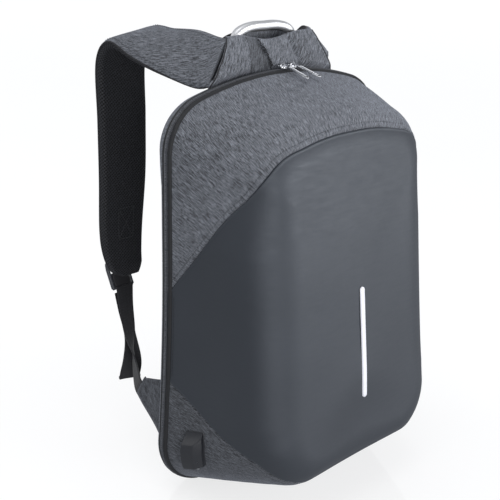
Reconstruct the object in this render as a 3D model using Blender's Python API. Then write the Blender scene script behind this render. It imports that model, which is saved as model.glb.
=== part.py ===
"""Backpack with a zipped clamshell opening, a metal handle, padded shoulder straps and a USB charging port.

Metres, +Z up, the front faces -Y. The origin is on the flat of the base. The zip runs round in the
plane y = ZIP_Y: in front of it is the deep front shell, behind it the shallow back half with the straps.
"""

import math

import bmesh
import bpy
import numpy as np
from mathutils import Matrix, Vector

# Front shell
ZIP_Y = 0.040
HEIGHT = 0.450
BASE_HALF_WIDTH = 0.164
WAIST_HALF_WIDTH = 0.152
WAIST_HEIGHT = 0.279
BASE_CORNER_RADIUS = 0.060
TOP_CORNER_RADIUS = 0.055
TOP_ARC_RADIUS = 0.400
BASE_DEPTH = 0.158
TOP_DEPTH = 0.102
FRONT_SCALE = 0.74
FRONT_LOW = 0.051
FRONT_HIGH = 0.418
FRONT_FILLET = 0.034
FRONT_CROWN = 0.002
SPINE_LOW = 0.30
SPINE_HIGH = 0.62

# Flat of the base: it narrows towards the front, and slopes rise round it
BASE_SIDE_LINE = 0.108
BASE_SIDE_TAPER = 0.838
BASE_SIDE_RISE = 0.52
BASE_FRONT_LINE = 0.084
BASE_BLEND = 0.010

# Layers of the front shell, as depths below its outer surface
FABRIC = 0.0012
FOAM_OUT = 0.0015
FOAM_IN = 0.0055
LINING_OUT = 0.0058
LINING_IN = 0.0066
SEAM_GAP = 0.0003

# Seam of the wrap panel: share of the half outline from base to top, and how far in from the zip it lies.
# 0 is the zip, 1 to 2 the rounded front edge and 3 the middle of the front.
SEAM_SHARE = (0.0, 0.178, 0.222, 0.26, 0.395, 0.53, 0.69, 0.76, 0.83, 1.0)
SEAM_ROW = (1.50, 1.42, 1.22, 1.0, 0.0, 0.0, 0.87, 1.38, 1.60, 1.65)
LOWER_TIP = 0.395
UPPER_TIP = 0.53
TIP_STEP = 0.004
ROWS = (0.0, 0.5, 1.0, 1.25, 1.5, 1.75, 2.0, 2.5, 3.0)

# Zip
TAPE_WIDTH = 0.0068
TAPE_OUT = 0.0003
TAPE_THICK = 0.0009
COIL_WIDTH = 0.0016
COIL_THICK = 0.0016
ZIP_GAP = 0.0003
ZIP_END = 0.150

# Rim of the back half: distance behind the zip's plane, inset from the outline at the top, and at the sides
RIM_PROFILE = (
    (0.0003, 0.0, 0.0),
    (0.0068, 0.0012, 0.0008),
    (0.0105, 0.0030, 0.0050),
    (0.0150, 0.0052, 0.0105),
    (0.0210, 0.0105, 0.0185),
    (0.0260, 0.0200, 0.0270),
)
RIM_SIDE_BELOW = 0.290
RIM_TOP_ABOVE = 0.400
RIM_THICK = 0.0012
HINGE_LIFT = 0.0006
BACK_FACE = 0.0270
PAD_EDGE = 0.0055

# Shoulder straps
STRAP_FABRIC = 0.0022
STRAP_FOAM = 0.0090
WEBBING_WIDTH = 0.024
WEBBING_THICK = 0.0016

COLOURS = {
    "melange": ((0.150, 0.158, 0.180, 1), 0.85, 0.0),
    "coated": ((0.060, 0.066, 0.074, 1), 0.42, 0.0),
    "black": ((0.012, 0.012, 0.014, 1), 0.80, 0.0),
    "mesh": ((0.010, 0.010, 0.012, 1), 0.90, 0.0),
    "foam": ((0.200, 0.200, 0.210, 1), 0.90, 0.0),
    "lining": ((0.050, 0.052, 0.058, 1), 0.80, 0.0),
    "reflective": ((0.750, 0.750, 0.780, 1), 0.35, 0.0),
    "metal": ((0.800, 0.810, 0.820, 1), 0.18, 1.0),
    "plastic": ((0.040, 0.042, 0.048, 1), 0.45, 0.0),
    "board": ((0.030, 0.030, 0.032, 1), 0.60, 0.0),
}


def clear_scene():
    for old in list(bpy.data.objects):
        bpy.data.objects.remove(old)


def material(name):
    found = bpy.data.materials.get(name)
    if found:
        return found
    colour, roughness, metallic = COLOURS[name]
    made = bpy.data.materials.new(name)
    made.use_nodes = True
    shader = made.node_tree.nodes["Principled BSDF"]
    shader.inputs["Base Color"].default_value = colour
    shader.inputs["Roughness"].default_value = roughness
    shader.inputs["Metallic"].default_value = metallic
    made.diffuse_color = colour
    return made


def add_object(name, points, faces, look, origin=(0, 0, 0)):
    """A closed mesh from world points, with its origin at the place given."""
    mesh = bpy.data.meshes.new(name)
    centre = Vector(origin)
    mesh.from_pydata([Vector(p) - centre for p in points], [], faces)
    work = bmesh.new()
    work.from_mesh(mesh)
    bmesh.ops.remove_doubles(work, verts=work.verts, dist=1e-6)
    bmesh.ops.dissolve_degenerate(work, edges=work.edges, dist=1e-7)
    bmesh.ops.recalc_face_normals(work, faces=work.faces)
    if work.calc_volume(signed=True) < 0:
        bmesh.ops.reverse_faces(work, faces=work.faces)
    work.to_mesh(mesh)
    work.free()
    mesh.shade_smooth()
    mesh.set_sharp_from_angle(angle=math.radians(40))
    mesh.materials.append(material(look))
    made = bpy.data.objects.new(name, mesh)
    made.location = centre
    bpy.context.scene.collection.objects.link(made)
    return made


def mirrored(points):
    return [(-p[0], p[1], p[2]) for p in points]


# ---------------------------------------------------------------- outline and shell


def half_width(z):
    ease = math.sin(min(z / WAIST_HEIGHT, 1.0) * math.pi / 2)
    return BASE_HALF_WIDTH + (WAIST_HALF_WIDTH - BASE_HALF_WIDTH) * ease


def half_outline():
    """The zip's path on the +X side, from the middle of the base to the middle of the top, as (x, z)."""
    corner_x = half_width(BASE_CORNER_RADIUS) - BASE_CORNER_RADIUS
    shoulder_x = WAIST_HALF_WIDTH - TOP_CORNER_RADIUS
    arc_z = HEIGHT - TOP_ARC_RADIUS
    reach = TOP_ARC_RADIUS - TOP_CORNER_RADIUS
    shoulder_z = arc_z + math.sqrt(reach**2 - shoulder_x**2)
    turn = math.atan2(shoulder_z - arc_z, shoulder_x)
    path = [(0.0, 0.0), (corner_x, 0.0)]
    for a in np.linspace(-math.pi / 2, 0, 25)[1:]:
        x = corner_x + BASE_CORNER_RADIUS * math.cos(a)
        path.append((x, BASE_CORNER_RADIUS * (1 + math.sin(a))))
    for z in np.linspace(BASE_CORNER_RADIUS, shoulder_z, 60)[1:]:
        path.append((half_width(z), z))
    for a in np.linspace(0, turn, 25)[1:]:
        x = shoulder_x + TOP_CORNER_RADIUS * math.cos(a)
        path.append((x, shoulder_z + TOP_CORNER_RADIUS * math.sin(a)))
    for a in np.linspace(turn, math.pi / 2, 25)[1:]:
        path.append((TOP_ARC_RADIUS * math.cos(a), arc_z + TOP_ARC_RADIUS * math.sin(a)))
    return np.array(path)


OUTLINE = half_outline()
OUTLINE_LENGTH = np.r_[0, np.cumsum(np.hypot(*np.diff(OUTLINE, axis=0).T))]


def outline_point(share):
    at = share * OUTLINE_LENGTH[-1]
    return np.array([np.interp(at, OUTLINE_LENGTH, OUTLINE[:, k]) for k in (0, 1)])


def stations():
    """Shares of the half outline where the shell has a rib, closer on the corners and exact at the tips."""
    breaks = (0.0, 0.142, 0.275, LOWER_TIP, UPPER_TIP, 0.738, 0.838, 1.0)
    counts = (3, 4, 3, 2, 4, 4, 3)
    found = {LOWER_TIP - TIP_STEP, UPPER_TIP + TIP_STEP, 1.0}
    for low, high, count in zip(breaks, breaks[1:], counts):
        found.update(low + (high - low) * k / count for k in range(count))
    return sorted(found)


def smooth_max(a, b):
    return max(a, b) + max(BASE_BLEND - abs(a - b), 0.0) ** 2 / (4 * BASE_BLEND)


def base_floor(x, depth):
    """The lowest that the base may be: flat in the middle, rising to both sides and to the front."""
    side = BASE_SIDE_RISE * (x - BASE_SIDE_LINE + BASE_SIDE_TAPER * depth)
    return smooth_max(smooth_max(side, depth - BASE_FRONT_LINE), 0.0)


def rib_point(share, row):
    """A point of the outer surface on the +X side: row 0 is on the zip, 3 in the middle of the front."""
    x, z = outline_point(share)
    start = np.array([x, 0.0, z])

    def depth_at(height):
        return BASE_DEPTH + (TOP_DEPTH - BASE_DEPTH) * height / HEIGHT

    high = FRONT_LOW + (FRONT_HIGH - FRONT_LOW) * z / HEIGHT
    corner = np.array([FRONT_SCALE * x, depth_at(high), high])
    rise = FRONT_HIGH - FRONT_LOW
    middle = min(max(high, FRONT_LOW + SPINE_LOW * rise), FRONT_LOW + SPINE_HIGH * rise)
    spine = np.array([0.0, depth_at(middle) + FRONT_CROWN, middle])
    side = (start - corner) / np.linalg.norm(start - corner)
    face = spine - corner
    reach = np.linalg.norm(face)
    round_off = min(FRONT_FILLET, 0.9 * reach)
    first = corner + side * round_off
    last = corner + face / reach * round_off
    if row <= 1:
        point = start + (first - start) * row
    elif row <= 2:
        k = row - 1
        point = (1 - k) ** 2 * first + 2 * k * (1 - k) * corner + k * k * last
    else:
        point = last + (spine - last) * (row - 2)
    fade = np.clip((0.20 - share) / (0.20 - 0.142), 0, 1) * np.clip(2 - row, 0, 1)
    low = base_floor(point[0], point[1])
    lowered = -smooth_max(-point[2], -low) if low < point[2] + BASE_BLEND else point[2]
    point[2] = max(point[2] + (lowered - point[2]) * fade, 0.0)
    return np.array([point[0], ZIP_Y - point[1], point[2]])


def seam_row(share):
    return float(np.interp(share, SEAM_SHARE, SEAM_ROW))


SHARES = stations()
SEAM_AT = len(ROWS) - 1  # index of the seam's row in each rib


def rib_rows(share):
    """Rows of one rib: those before the seam, the seam, and those after it. Others collapse on the seam."""
    seam = seam_row(share)
    return [min(r, seam) for r in ROWS] + [max(r, seam) for r in ROWS[1:]]


def shell_grid():
    """Outer surface and its normals, as arrays [rib][row][xyz]; the ribs run up +X and then down -X."""
    right = [[rib_point(s, r) for r in rib_rows(s)] for s in SHARES]
    left = [[p * (-1, 1, 1) for p in rib] for rib in right[-2:0:-1]]
    points = np.array(right + left)
    count, rows = points.shape[:2]
    key = np.round(points.reshape(-1, 3) * 1e6).astype(np.int64)
    _, same = np.unique(key, axis=0, return_inverse=True)
    same = same.reshape(count, rows)
    total = np.zeros((same.max() + 1, 3))
    for i in range(count):
        k = (i + 1) % count
        for j in range(rows - 1):
            a, b, c, d = points[i, j], points[k, j], points[k, j + 1], points[i, j + 1]
            area = np.cross(c - a, b - d)
            for at in {same[i, j], same[k, j], same[k, j + 1], same[i, j + 1]}:
                total[at] += area
    normals = total[same]
    normals[:, 0, 1] = 0.0
    normals /= np.linalg.norm(normals, axis=2, keepdims=True)
    outward = np.sign((normals * (points - (0.0, 0.0, HEIGHT / 2))).sum())
    return points, normals * outward


SHELL, SHELL_NORMAL = shell_grid()
RIB_COUNT, ROW_COUNT = SHELL.shape[:2]
SHARE_OF_RIB = SHARES + SHARES[-2:0:-1]


def shell_layer(depth):
    """The shell's surface moved inwards by depth. The edge on the zip stays in the zip's plane."""
    return SHELL - SHELL_NORMAL * depth


def sheet_solid(name, outer, inner, look, closed=False, pole=False):
    """A closed solid between two grids of points [rib][row]: closed joins the last rib to the first, and
    pole leaves out the wall at the last row, where the ribs meet."""
    count, rows = outer.shape[:2]
    points = list(outer.reshape(-1, 3)) + list(inner.reshape(-1, 3))
    below = count * rows
    faces = []
    for i in range(count if closed else count - 1):
        k = (i + 1) % count
        for j in range(rows - 1):
            a, b, c, d = i * rows + j, k * rows + j, k * rows + j + 1, i * rows + j + 1
            for face in ((a, b, c), (a, c, d)):
                faces.append(face)
                faces.append(tuple(below + v for v in reversed(face)))
        ends = [0] if pole else [0, rows - 1]
        for j in ends:
            a, b = i * rows + j, k * rows + j
            faces.append((a, b, below + b))
            faces.append((a, below + b, below + a))
    if not closed:
        for i in (0, count - 1):
            for j in range(rows - 1):
                a, b = i * rows + j, i * rows + j + 1
                faces.append((a, b, below + b))
                faces.append((a, below + b, below + a))
    unique = clean_faces(points, faces)
    return add_object(name, points, unique, look)


def clean_faces(points, faces):
    """Leaves out the faces that have collapsed, so that only real ones are welded."""
    spots = [tuple(np.round(p * 1e6).astype(int)) for p in points]
    return [f for f in faces if len({spots[v] for v in f}) == len(f)]


def toward(grid, edge, inside, distance):
    """Moves one row of a grid towards the next, so that a seam has a gap."""
    moved = grid.copy()
    for i in range(grid.shape[0]):
        j = inside
        step = 1 if inside > edge else -1
        while 0 <= j < grid.shape[1] and np.linalg.norm(grid[i, j] - grid[i, edge]) < 3 * distance:
            j += step
        if 0 <= j < grid.shape[1]:
            way = grid[i, j] - grid[i, edge]
            new = grid[i, edge] + way / np.linalg.norm(way) * distance
            for k in range(min(edge, j - step), max(edge, j - step) + 1):
                moved[i, k] = new
    return moved


def skin(name, ribs, first, last, look, gap_edge=None, closed=False, pole=False):
    """One fabric piece of the shell: ribs and rows of the shared grid, a fabric's thickness deep."""
    layers = []
    for depth in (0.0, FABRIC):
        grid = shell_layer(depth)[ribs][:, first : last + 1]
        if gap_edge == "last":
            grid = toward(grid, grid.shape[1] - 1, grid.shape[1] - 2, SEAM_GAP)
        if gap_edge == "first":
            grid = toward(grid, 0, 1, SEAM_GAP)
        layers.append(grid)
    return sheet_solid(name, layers[0], layers[1], look, closed, pole)


def ribs_between(low, high):
    """Ribs whose share lies in a range, in loop order, starting on the +X side."""
    right = [i for i in range(len(SHARES)) if low <= SHARES[i] <= high]
    left = [i for i in range(len(SHARES), RIB_COUNT) if low <= SHARE_OF_RIB[i] <= high]
    return right, left


def make_front_shell():
    right, left = ribs_between(UPPER_TIP + TIP_STEP / 2, 1.0)
    skin("upper_fabric_panel", right + left, 0, SEAM_AT, "melange", "last")
    right, left = ribs_between(0.0, LOWER_TIP - TIP_STEP / 2)
    skin("base_fabric_panel", left + right, 0, SEAM_AT, "melange", "last")
    every = list(range(RIB_COUNT))
    skin("wrap_panel", every, SEAM_AT, ROW_COUNT - 1, "coated", "first", True, True)
    for name, out, inside, look in (
        ("front_foam_shell", FOAM_OUT, FOAM_IN, "foam"),
        ("front_lining", LINING_OUT, LINING_IN, "lining"),
    ):
        sheet_solid(name, shell_layer(out), shell_layer(inside), look, True, True)


# ---------------------------------------------------------------- zip


def side_point(rib, back, out):
    """A point beside the zip: back metres forward of its plane along the rib, and out metres proud of it."""
    edge, following = SHELL[rib, 0], SHELL[rib, first_free_row(rib)]
    length = np.linalg.norm(following - edge)
    k = back / length
    normal = SHELL_NORMAL[rib, 0] * (1 - k) + SHELL_NORMAL[rib, first_free_row(rib)] * k
    return edge + (following - edge) * k + normal * out


def first_free_row(rib):
    for j in range(1, ROW_COUNT):
        if np.linalg.norm(SHELL[rib, j] - SHELL[rib, 0]) > 2 * TAPE_WIDTH:
            return j
    return 1


def back_point(rib, back, out):
    """The same behind the zip's plane, along the rim of the back half."""
    edge = rim_point(rib, RIM_PROFILE[0])
    following = rim_point(rib, RIM_PROFILE[1])
    along = (following - edge) / np.linalg.norm(following - edge)
    normal = edge_normal(rib) - along * along.dot(edge_normal(rib))
    return edge + along * back + normal / np.linalg.norm(normal) * out


def zip_half(name, place):
    """Tape and coil of one half as one strip along the outline, up one side and down the other."""
    section = (
        (ZIP_GAP, TAPE_OUT),
        (ZIP_GAP, TAPE_OUT + COIL_THICK),
        (COIL_WIDTH, TAPE_OUT + COIL_THICK),
        (COIL_WIDTH + 0.0004, TAPE_OUT + TAPE_THICK),
        (TAPE_WIDTH, TAPE_OUT + TAPE_THICK),
        (TAPE_WIDTH, TAPE_OUT),
    )
    right, left = ribs_between(ZIP_END, 1.0)
    ribs = right + left
    points = [place(rib, back, out) for rib in ribs for back, out in section]
    return tube_solid(name, points, len(section), "black")


def tube_solid(name, points, sides, look, origin=(0, 0, 0)):
    """A closed tube from rings of the same number of points, with flat ends."""
    rings = len(points) // sides
    faces = []
    for i in range(rings - 1):
        for j in range(sides):
            k = (j + 1) % sides
            a, b, c, d = i * sides + j, i * sides + k, (i + 1) * sides + k, (i + 1) * sides + j
            faces += [(a, b, c), (a, c, d)]
    faces.append(tuple(range(sides)))
    faces.append(tuple(range((rings - 1) * sides, rings * sides)))
    return add_object(name, points, faces, look, origin)


# ---------------------------------------------------------------- back half


def edge_normal(rib):
    return SHELL_NORMAL[rib, 0]


def rim_point(rib, at, extra=0.0):
    """A point of the back half: at holds its distance behind the zip's plane and its two insets."""
    behind, top_inset, side_inset = at
    up = np.clip((SHELL[rib, 0][2] - RIM_SIDE_BELOW) / (RIM_TOP_ABOVE - RIM_SIDE_BELOW), 0, 1)
    up = up * up * (3 - 2 * up)
    inset = side_inset + (top_inset - side_inset) * up + extra
    point = SHELL[rib, 0] - edge_normal(rib) * inset
    return np.array([point[0], ZIP_Y + behind, max(point[2], HINGE_LIFT)])


def rim_grid(profile, extra=0.0):
    return np.array([[rim_point(rib, at, extra) for at in profile] for rib in range(RIB_COUNT)])


def rim_at(behind, extra):
    """Profile entry at a distance behind the zip's plane, further in than the rim by extra."""
    columns = np.array(RIM_PROFILE).T
    top, side = (np.interp(behind, columns[0], columns[k]) for k in (1, 2))
    return (behind, top + extra, side + extra)


def plate(name, profile, look):
    """A solid plate with the outline's shape: the profile runs over its edge, and both faces are flat."""
    grid = rim_grid(profile)
    points = [p for rib in grid for p in rib]
    rows = len(profile)
    hubs = []
    for j in (0, rows - 1):
        hubs.append(len(points))
        points.append(np.array([0.0, grid[0, j, 1], HEIGHT / 2]))
    faces = []
    for i in range(RIB_COUNT):
        k = (i + 1) % RIB_COUNT
        for j in range(rows - 1):
            a, b, c, d = i * rows + j, k * rows + j, k * rows + j + 1, i * rows + j + 1
            faces += [(a, b, c), (a, c, d)]
        faces.append((i * rows, k * rows, hubs[0]))
        faces.append((i * rows + rows - 1, k * rows + rows - 1, hubs[1]))
    return add_object(name, points, faces, look)


def make_back_half():
    outer = rim_grid(RIM_PROFILE)
    first = RIM_PROFILE[0][0]
    inner_profile = [(max(behind - RIM_THICK, first), top, side) for behind, top, side in RIM_PROFILE]
    inner = rim_grid(inner_profile, RIM_THICK)
    sheet_solid("back_gusset", outer, inner, "melange", True)
    edges = ((0.0125, 0.0036), (0.0160, 0.0036), (0.0205, 0.0042), (0.0238, 0.0048))
    foam = [rim_at(behind, extra) for behind, extra in edges]
    plate("back_foam", foam, "foam")
    plate("back_stiffener", [rim_at(0.0108, 0.004), rim_at(0.0120, 0.004)], "board")
    plate("back_lining", [rim_at(0.0095, 0.0036), rim_at(0.0104, 0.0036)], "lining")
    edge = RIM_PROFILE[-1]
    inset = (edge[1] + RIM_THICK + 0.0006, edge[2] + RIM_THICK + 0.0006)
    plate("back_mesh_panel", [(0.0243, *inset), (BACK_FACE, *inset)], "mesh")


def rounded_box(name, low, high, radius, look, segments=2, origin=(0, 0, 0)):
    """A box with bevelled edges between two corners."""
    low, high = Vector(low), Vector(high)
    work = bmesh.new()
    bmesh.ops.create_cube(work, size=1.0)
    size = high - low
    bmesh.ops.scale(work, vec=size, verts=work.verts)
    bmesh.ops.bevel(work, geom=work.edges, offset=radius, segments=segments, affect="EDGES", profile=0.5)
    bmesh.ops.translate(work, vec=(low + high) / 2, verts=work.verts)
    points = [v.co.copy() for v in work.verts]
    work.verts.index_update()
    faces = [tuple(v.index for v in f.verts) for f in work.faces]
    work.free()
    return add_object(name, points, faces, look, origin)


def make_back_pads():
    low_y, high_y = ZIP_Y + BACK_FACE + 0.0003, ZIP_Y + 0.0395
    for side, word in ((-1, "left"), (1, "right")):
        for place, bottom, top in (("upper", 0.222, 0.395), ("lower", 0.045, 0.212)):
            xs = sorted((side * 0.020, side * 0.112))
            rounded_box(
                f"back_pad_{place}_{word}",
                (xs[0], low_y, bottom),
                (xs[1], high_y, top),
                PAD_EDGE,
                "mesh",
            )


# ---------------------------------------------------------------- collar, straps, webbing


def spline(points, count):
    """Evenly spaced points of a smooth curve through the given points."""
    pts = np.array(points, float)
    ext = np.vstack([2 * pts[0] - pts[1], pts, 2 * pts[-1] - pts[-2]])
    fine = []
    for i in range(1, len(ext) - 2):
        for t in np.linspace(0, 1, 24, endpoint=False):
            a, b, c, d = ext[i - 1], ext[i], ext[i + 1], ext[i + 2]
            bend = (2 * a - 5 * b + 4 * c - d) * t**2 + (3 * b - a - 3 * c + d) * t**3
            fine.append(0.5 * (2 * b + (c - a) * t + bend))
    fine.append(pts[-1])
    fine = np.array(fine)
    run = np.r_[0, np.cumsum(np.linalg.norm(np.diff(fine[:, :3], axis=0), axis=1))]
    at = np.linspace(0, run[-1], count)
    return np.array([[np.interp(s, run, fine[:, k]) for k in range(fine.shape[1])] for s in at])


def ribbon(rows, low, high, edge, count):
    """Rings round a flat strip. Each row of rows is x, y, z, width direction x, y, z and width. The section
    reaches from low to high along the strip's normal, with its edges rounded by edge."""
    path = spline(rows, count)
    rings = []
    for i, row in enumerate(path):
        centre, across, width = row[:3], row[3:6], row[6]
        ahead = path[min(i + 1, count - 1)][:3] - path[max(i - 1, 0)][:3]
        ahead /= np.linalg.norm(ahead)
        across = across - ahead * across.dot(ahead)
        across /= np.linalg.norm(across)
        normal = np.cross(ahead, across)
        half = width / 2
        for a, b in (
            (-half, low + edge),
            (-half + edge, low),
            (half - edge, low),
            (half, low + edge),
            (half, high - edge),
            (half - edge, high),
            (-half + edge, high),
            (-half, high - edge),
        ):
            rings.append(centre + across * a + normal * b)
    return rings


# Straps: centre line, direction across towards the outer edge, and width, as on the left side. y counts from
# the zip's plane. The left strap stands up in a wide loop, and the right one has sunk lower and further out.
LEFT_STRAP = (
    (-0.0785, 0.0300, 0.4615, -0.57, 0.0, -0.82, 0.056),
    (-0.0850, 0.0600, 0.4700, -0.75, 0.0, -0.66, 0.061),
    (-0.0905, 0.1000, 0.4745, -0.92, 0.0, -0.40, 0.062),
    (-0.0960, 0.1340, 0.4750, -0.99, 0.0, -0.15, 0.064),
    (-0.0990, 0.1530, 0.4450, -1.0, 0.0, 0.0, 0.064),
    (-0.0990, 0.1560, 0.3800, -1.0, 0.0, 0.0, 0.063),
    (-0.0990, 0.1540, 0.3200, -1.0, 0.0, 0.0, 0.062),
    (-0.0985, 0.1510, 0.2600, -1.0, 0.0, 0.0, 0.059),
    (-0.0955, 0.1480, 0.2250, -1.0, 0.0, 0.0, 0.052),
    (-0.0905, 0.1460, 0.2070, -1.0, 0.0, 0.0, 0.042),
    (-0.0880, 0.1450, 0.2000, -1.0, 0.0, 0.0, 0.030),
)
RIGHT_STRAP = (
    (-0.0785, 0.0300, 0.4615, -0.57, 0.0, -0.82, 0.056),
    (-0.0940, 0.0430, 0.4650, -0.72, 0.0, -0.69, 0.058),
    (-0.1110, 0.0620, 0.4640, -0.84, 0.0, -0.54, 0.060),
    (-0.1210, 0.0880, 0.4480, -0.94, 0.0, -0.34, 0.062),
    (-0.1240, 0.1120, 0.4180, -1.0, 0.0, -0.10, 0.064),
    (-0.1230, 0.1270, 0.3780, -1.0, 0.0, 0.0, 0.064),
    (-0.1210, 0.1340, 0.3300, -1.0, 0.0, 0.0, 0.063),
    (-0.1180, 0.1370, 0.2800, -1.0, 0.0, 0.0, 0.061),
    (-0.1140, 0.1375, 0.2400, -1.0, 0.0, 0.0, 0.057),
    (-0.1060, 0.1370, 0.2120, -1.0, 0.0, 0.0, 0.048),
    (-0.1020, 0.1365, 0.2000, -1.0, 0.0, 0.0, 0.030),
)
LOCK_SIZE = (0.030, 0.0045, 0.026)
SIDES = (("left", LEFT_STRAP), ("right", RIGHT_STRAP))


def placed(rows):
    """Rows with y counted from the zip's plane, in the bag's own frame."""
    return [(row[0], row[1] + ZIP_Y, *row[2:]) for row in rows]


def on_side(points, word):
    return mirrored(points) if word == "right" else points


def make_straps():
    for word, rows in SIDES:
        for name, low, high, look in (
            ("strap_fabric", 0.0003, 0.0003 + STRAP_FABRIC, "melange"),
            ("strap_mesh", -STRAP_FOAM, 0.0, "mesh"),
        ):
            edge = min(0.003, (high - low) / 2.5)
            rings = ribbon(placed(rows), low, high, edge, 22)
            tube_solid(f"{word}_{name}", on_side(rings, word), 8, look)


def prism(name, outline, direction, look, origin=(0, 0, 0)):
    """A flat polygon given by its corners, pulled along a direction into a solid."""
    base = [Vector(p) for p in outline]
    count = len(base)
    points = base + [p + Vector(direction) for p in base]
    faces = [tuple(range(count)), tuple(reversed(range(count, 2 * count)))]
    for i in range(count):
        k = (i + 1) % count
        faces.append((i, k, k + count, i + count))
    return add_object(name, points, faces, look, origin)


def cut(body, cutter):
    """Takes the cutter away from the body with a Boolean, and keeps the cutter as a hidden guide."""
    cutter.hide_render = True
    cutter.display_type = "WIRE"
    step = body.modifiers.new("cut", "BOOLEAN")
    step.operation = "DIFFERENCE"
    step.solver = "EXACT"
    step.object = cutter


LOCK_TILT = math.radians(28)


def ladder_lock(name, middle, slots):
    """Slotted frame with a rounded thumb tab that stands out behind the strap."""
    width, thick, height = LOCK_SIZE
    low = Vector((-width / 2, -thick / 2, -height / 2))
    body = rounded_box(name, low, -low, 0.0012, "plastic", 1)
    for k, middle_z in enumerate(slots):
        reach = Vector((width / 2 - 0.0025, thick, 0.0021))
        centre = Vector((0, 0, middle_z))
        cut(body, rounded_box(f"{name}_slot_{k}", centre - reach, centre + reach, 0.0002, "plastic", 1))
    body.matrix_world = Matrix.Translation(middle) @ Matrix.Rotation(-LOCK_TILT, 4, "X")
    for step in body.modifiers:
        step.object.matrix_world = body.matrix_world
    return body


def make_lower_straps():
    """Fabric loop, ladder lock, webbing down to the wing, and the loose end, on both sides."""
    for word, strap in SIDES:
        flip = 1 if word == "left" else -1
        x, y, z = strap[-1][:3]
        x -= 0.018
        lock_y, lock_z = y + 0.0100, z - 0.0060
        middle = Vector((flip * x, ZIP_Y + lock_y, lock_z))
        ladder_lock(f"{word}_ladder_lock", middle, (-0.0095, 0.0, 0.0075))
        main_run = (
            (x, lock_y - 0.0090, lock_z - 0.0080, -1.0, 0.0, 0.0, WEBBING_WIDTH),
            (x - 0.006, lock_y - 0.0200, lock_z - 0.0300, -0.97, -0.2, 0.0, WEBBING_WIDTH),
            (x - 0.016, lock_y - 0.0400, lock_z - 0.0520, -0.9, -0.4, 0.0, WEBBING_WIDTH),
            (-0.1310, 0.0900, 0.1270, -0.5, -0.8, 0.1, WEBBING_WIDTH),
            (-0.1480, 0.0610, 0.1085, -0.1, -0.55, 0.8, WEBBING_WIDTH),
        )
        loose_end = (
            (x + 0.003, lock_y - 0.0010, lock_z - 0.0190, -1.0, 0.0, 0.0, WEBBING_WIDTH),
            (x - 0.003, lock_y - 0.0140, lock_z - 0.0360, -0.97, -0.2, 0.0, WEBBING_WIDTH),
            (x - 0.012, lock_y - 0.0340, lock_z - 0.0570, -0.9, -0.4, 0.0, WEBBING_WIDTH),
            (-0.1290, 0.0960, 0.1180, -0.8, -0.4, 0.1, WEBBING_WIDTH),
            (-0.1340, 0.0950, 0.0960, -0.95, 0.1, -0.2, WEBBING_WIDTH),
        )
        loop = (
            (x + 0.010, y + 0.0075, z + 0.0240, -1.0, 0.0, 0.0, 0.020),
            (x + 0.006, y + 0.0070, z + 0.0130, -1.0, 0.0, 0.0, 0.020),
            (x + 0.003, y + 0.0078, z + 0.0070, -1.0, 0.0, 0.0, 0.020),
        )
        for name, rows in (("webbing", main_run), ("webbing_end", loose_end), ("strap_loop", loop)):
            rings = ribbon(placed(rows), -WEBBING_THICK / 2, WEBBING_THICK / 2, 0.0005, 14)
            tube_solid(f"{word}_{name}", on_side(rings, word), 8, "black")
        wing = [
            (-0.1430, ZIP_Y + 0.0170, 0.128),
            (-0.1485, ZIP_Y + 0.0450, 0.121),
            (-0.1490, ZIP_Y + 0.0580, 0.097),
            (-0.1485, ZIP_Y + 0.0170, 0.060),
        ]
        prism(f"{word}_wing", on_side(wing, word), (flip * -0.0015, 0, 0), "melange")


# ---------------------------------------------------------------- collar and handle

COLLAR_HEIGHT = 0.4860
COLLAR_DIP = 0.0065
COLLAR_THICK = 0.0030
HANDLE_HALF = 0.042
HANDLE_Y = 0.0270
HANDLE_AXIS_Z = 0.4700
HANDLE_TOP_Z = 0.4935
HANDLE_BAR = 0.0040


def collar(name, ys, halves, drop, dip):
    """An upright panel from the rim to the collar's top edge, which may be lower in the middle.

    ys and halves hold its y behind the zip's plane and its half width, at the foot and at the top.
    """
    front, back = [], []
    for k in np.linspace(-1, 1, 13):
        x = halves[0] * k
        arc = HEIGHT - TOP_ARC_RADIUS + math.sqrt(TOP_ARC_RADIUS**2 - x**2)
        low = np.array([x, ZIP_Y + ys[0], arc - drop])
        sunk = dip * (0.5 + 0.5 * math.cos(math.pi * min(abs(k) / 0.75, 1)))
        high = np.array([halves[1] * k, ZIP_Y + ys[1], COLLAR_HEIGHT - sunk])
        front.append([low + (high - low) * t for t in (0, 0.5, 1)])
        back.append([p + (0, COLLAR_THICK, 0) for p in front[-1]])
    return sheet_solid(name, np.array(front), np.array(back), "melange")


def make_collar():
    collar("collar_front", (0.0090, 0.0175), (0.090, 0.062), 0.0004, COLLAR_DIP)
    collar("collar_back", (0.0345, 0.0345), (0.053, 0.051), 0.0110, 0.0)


def round_rings(path, radius, sides):
    """Rings of a round bar along a path of points."""
    rings = []
    for i, centre in enumerate(path):
        ahead = Vector(path[min(i + 1, len(path) - 1)]) - Vector(path[max(i - 1, 0)])
        turn = ahead.to_track_quat("Z", "Y")
        for k in range(sides):
            a = 2 * math.pi * k / sides
            rings.append(Vector(centre) + turn @ Vector((radius * math.cos(a), radius * math.sin(a), 0)))
    return rings


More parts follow.
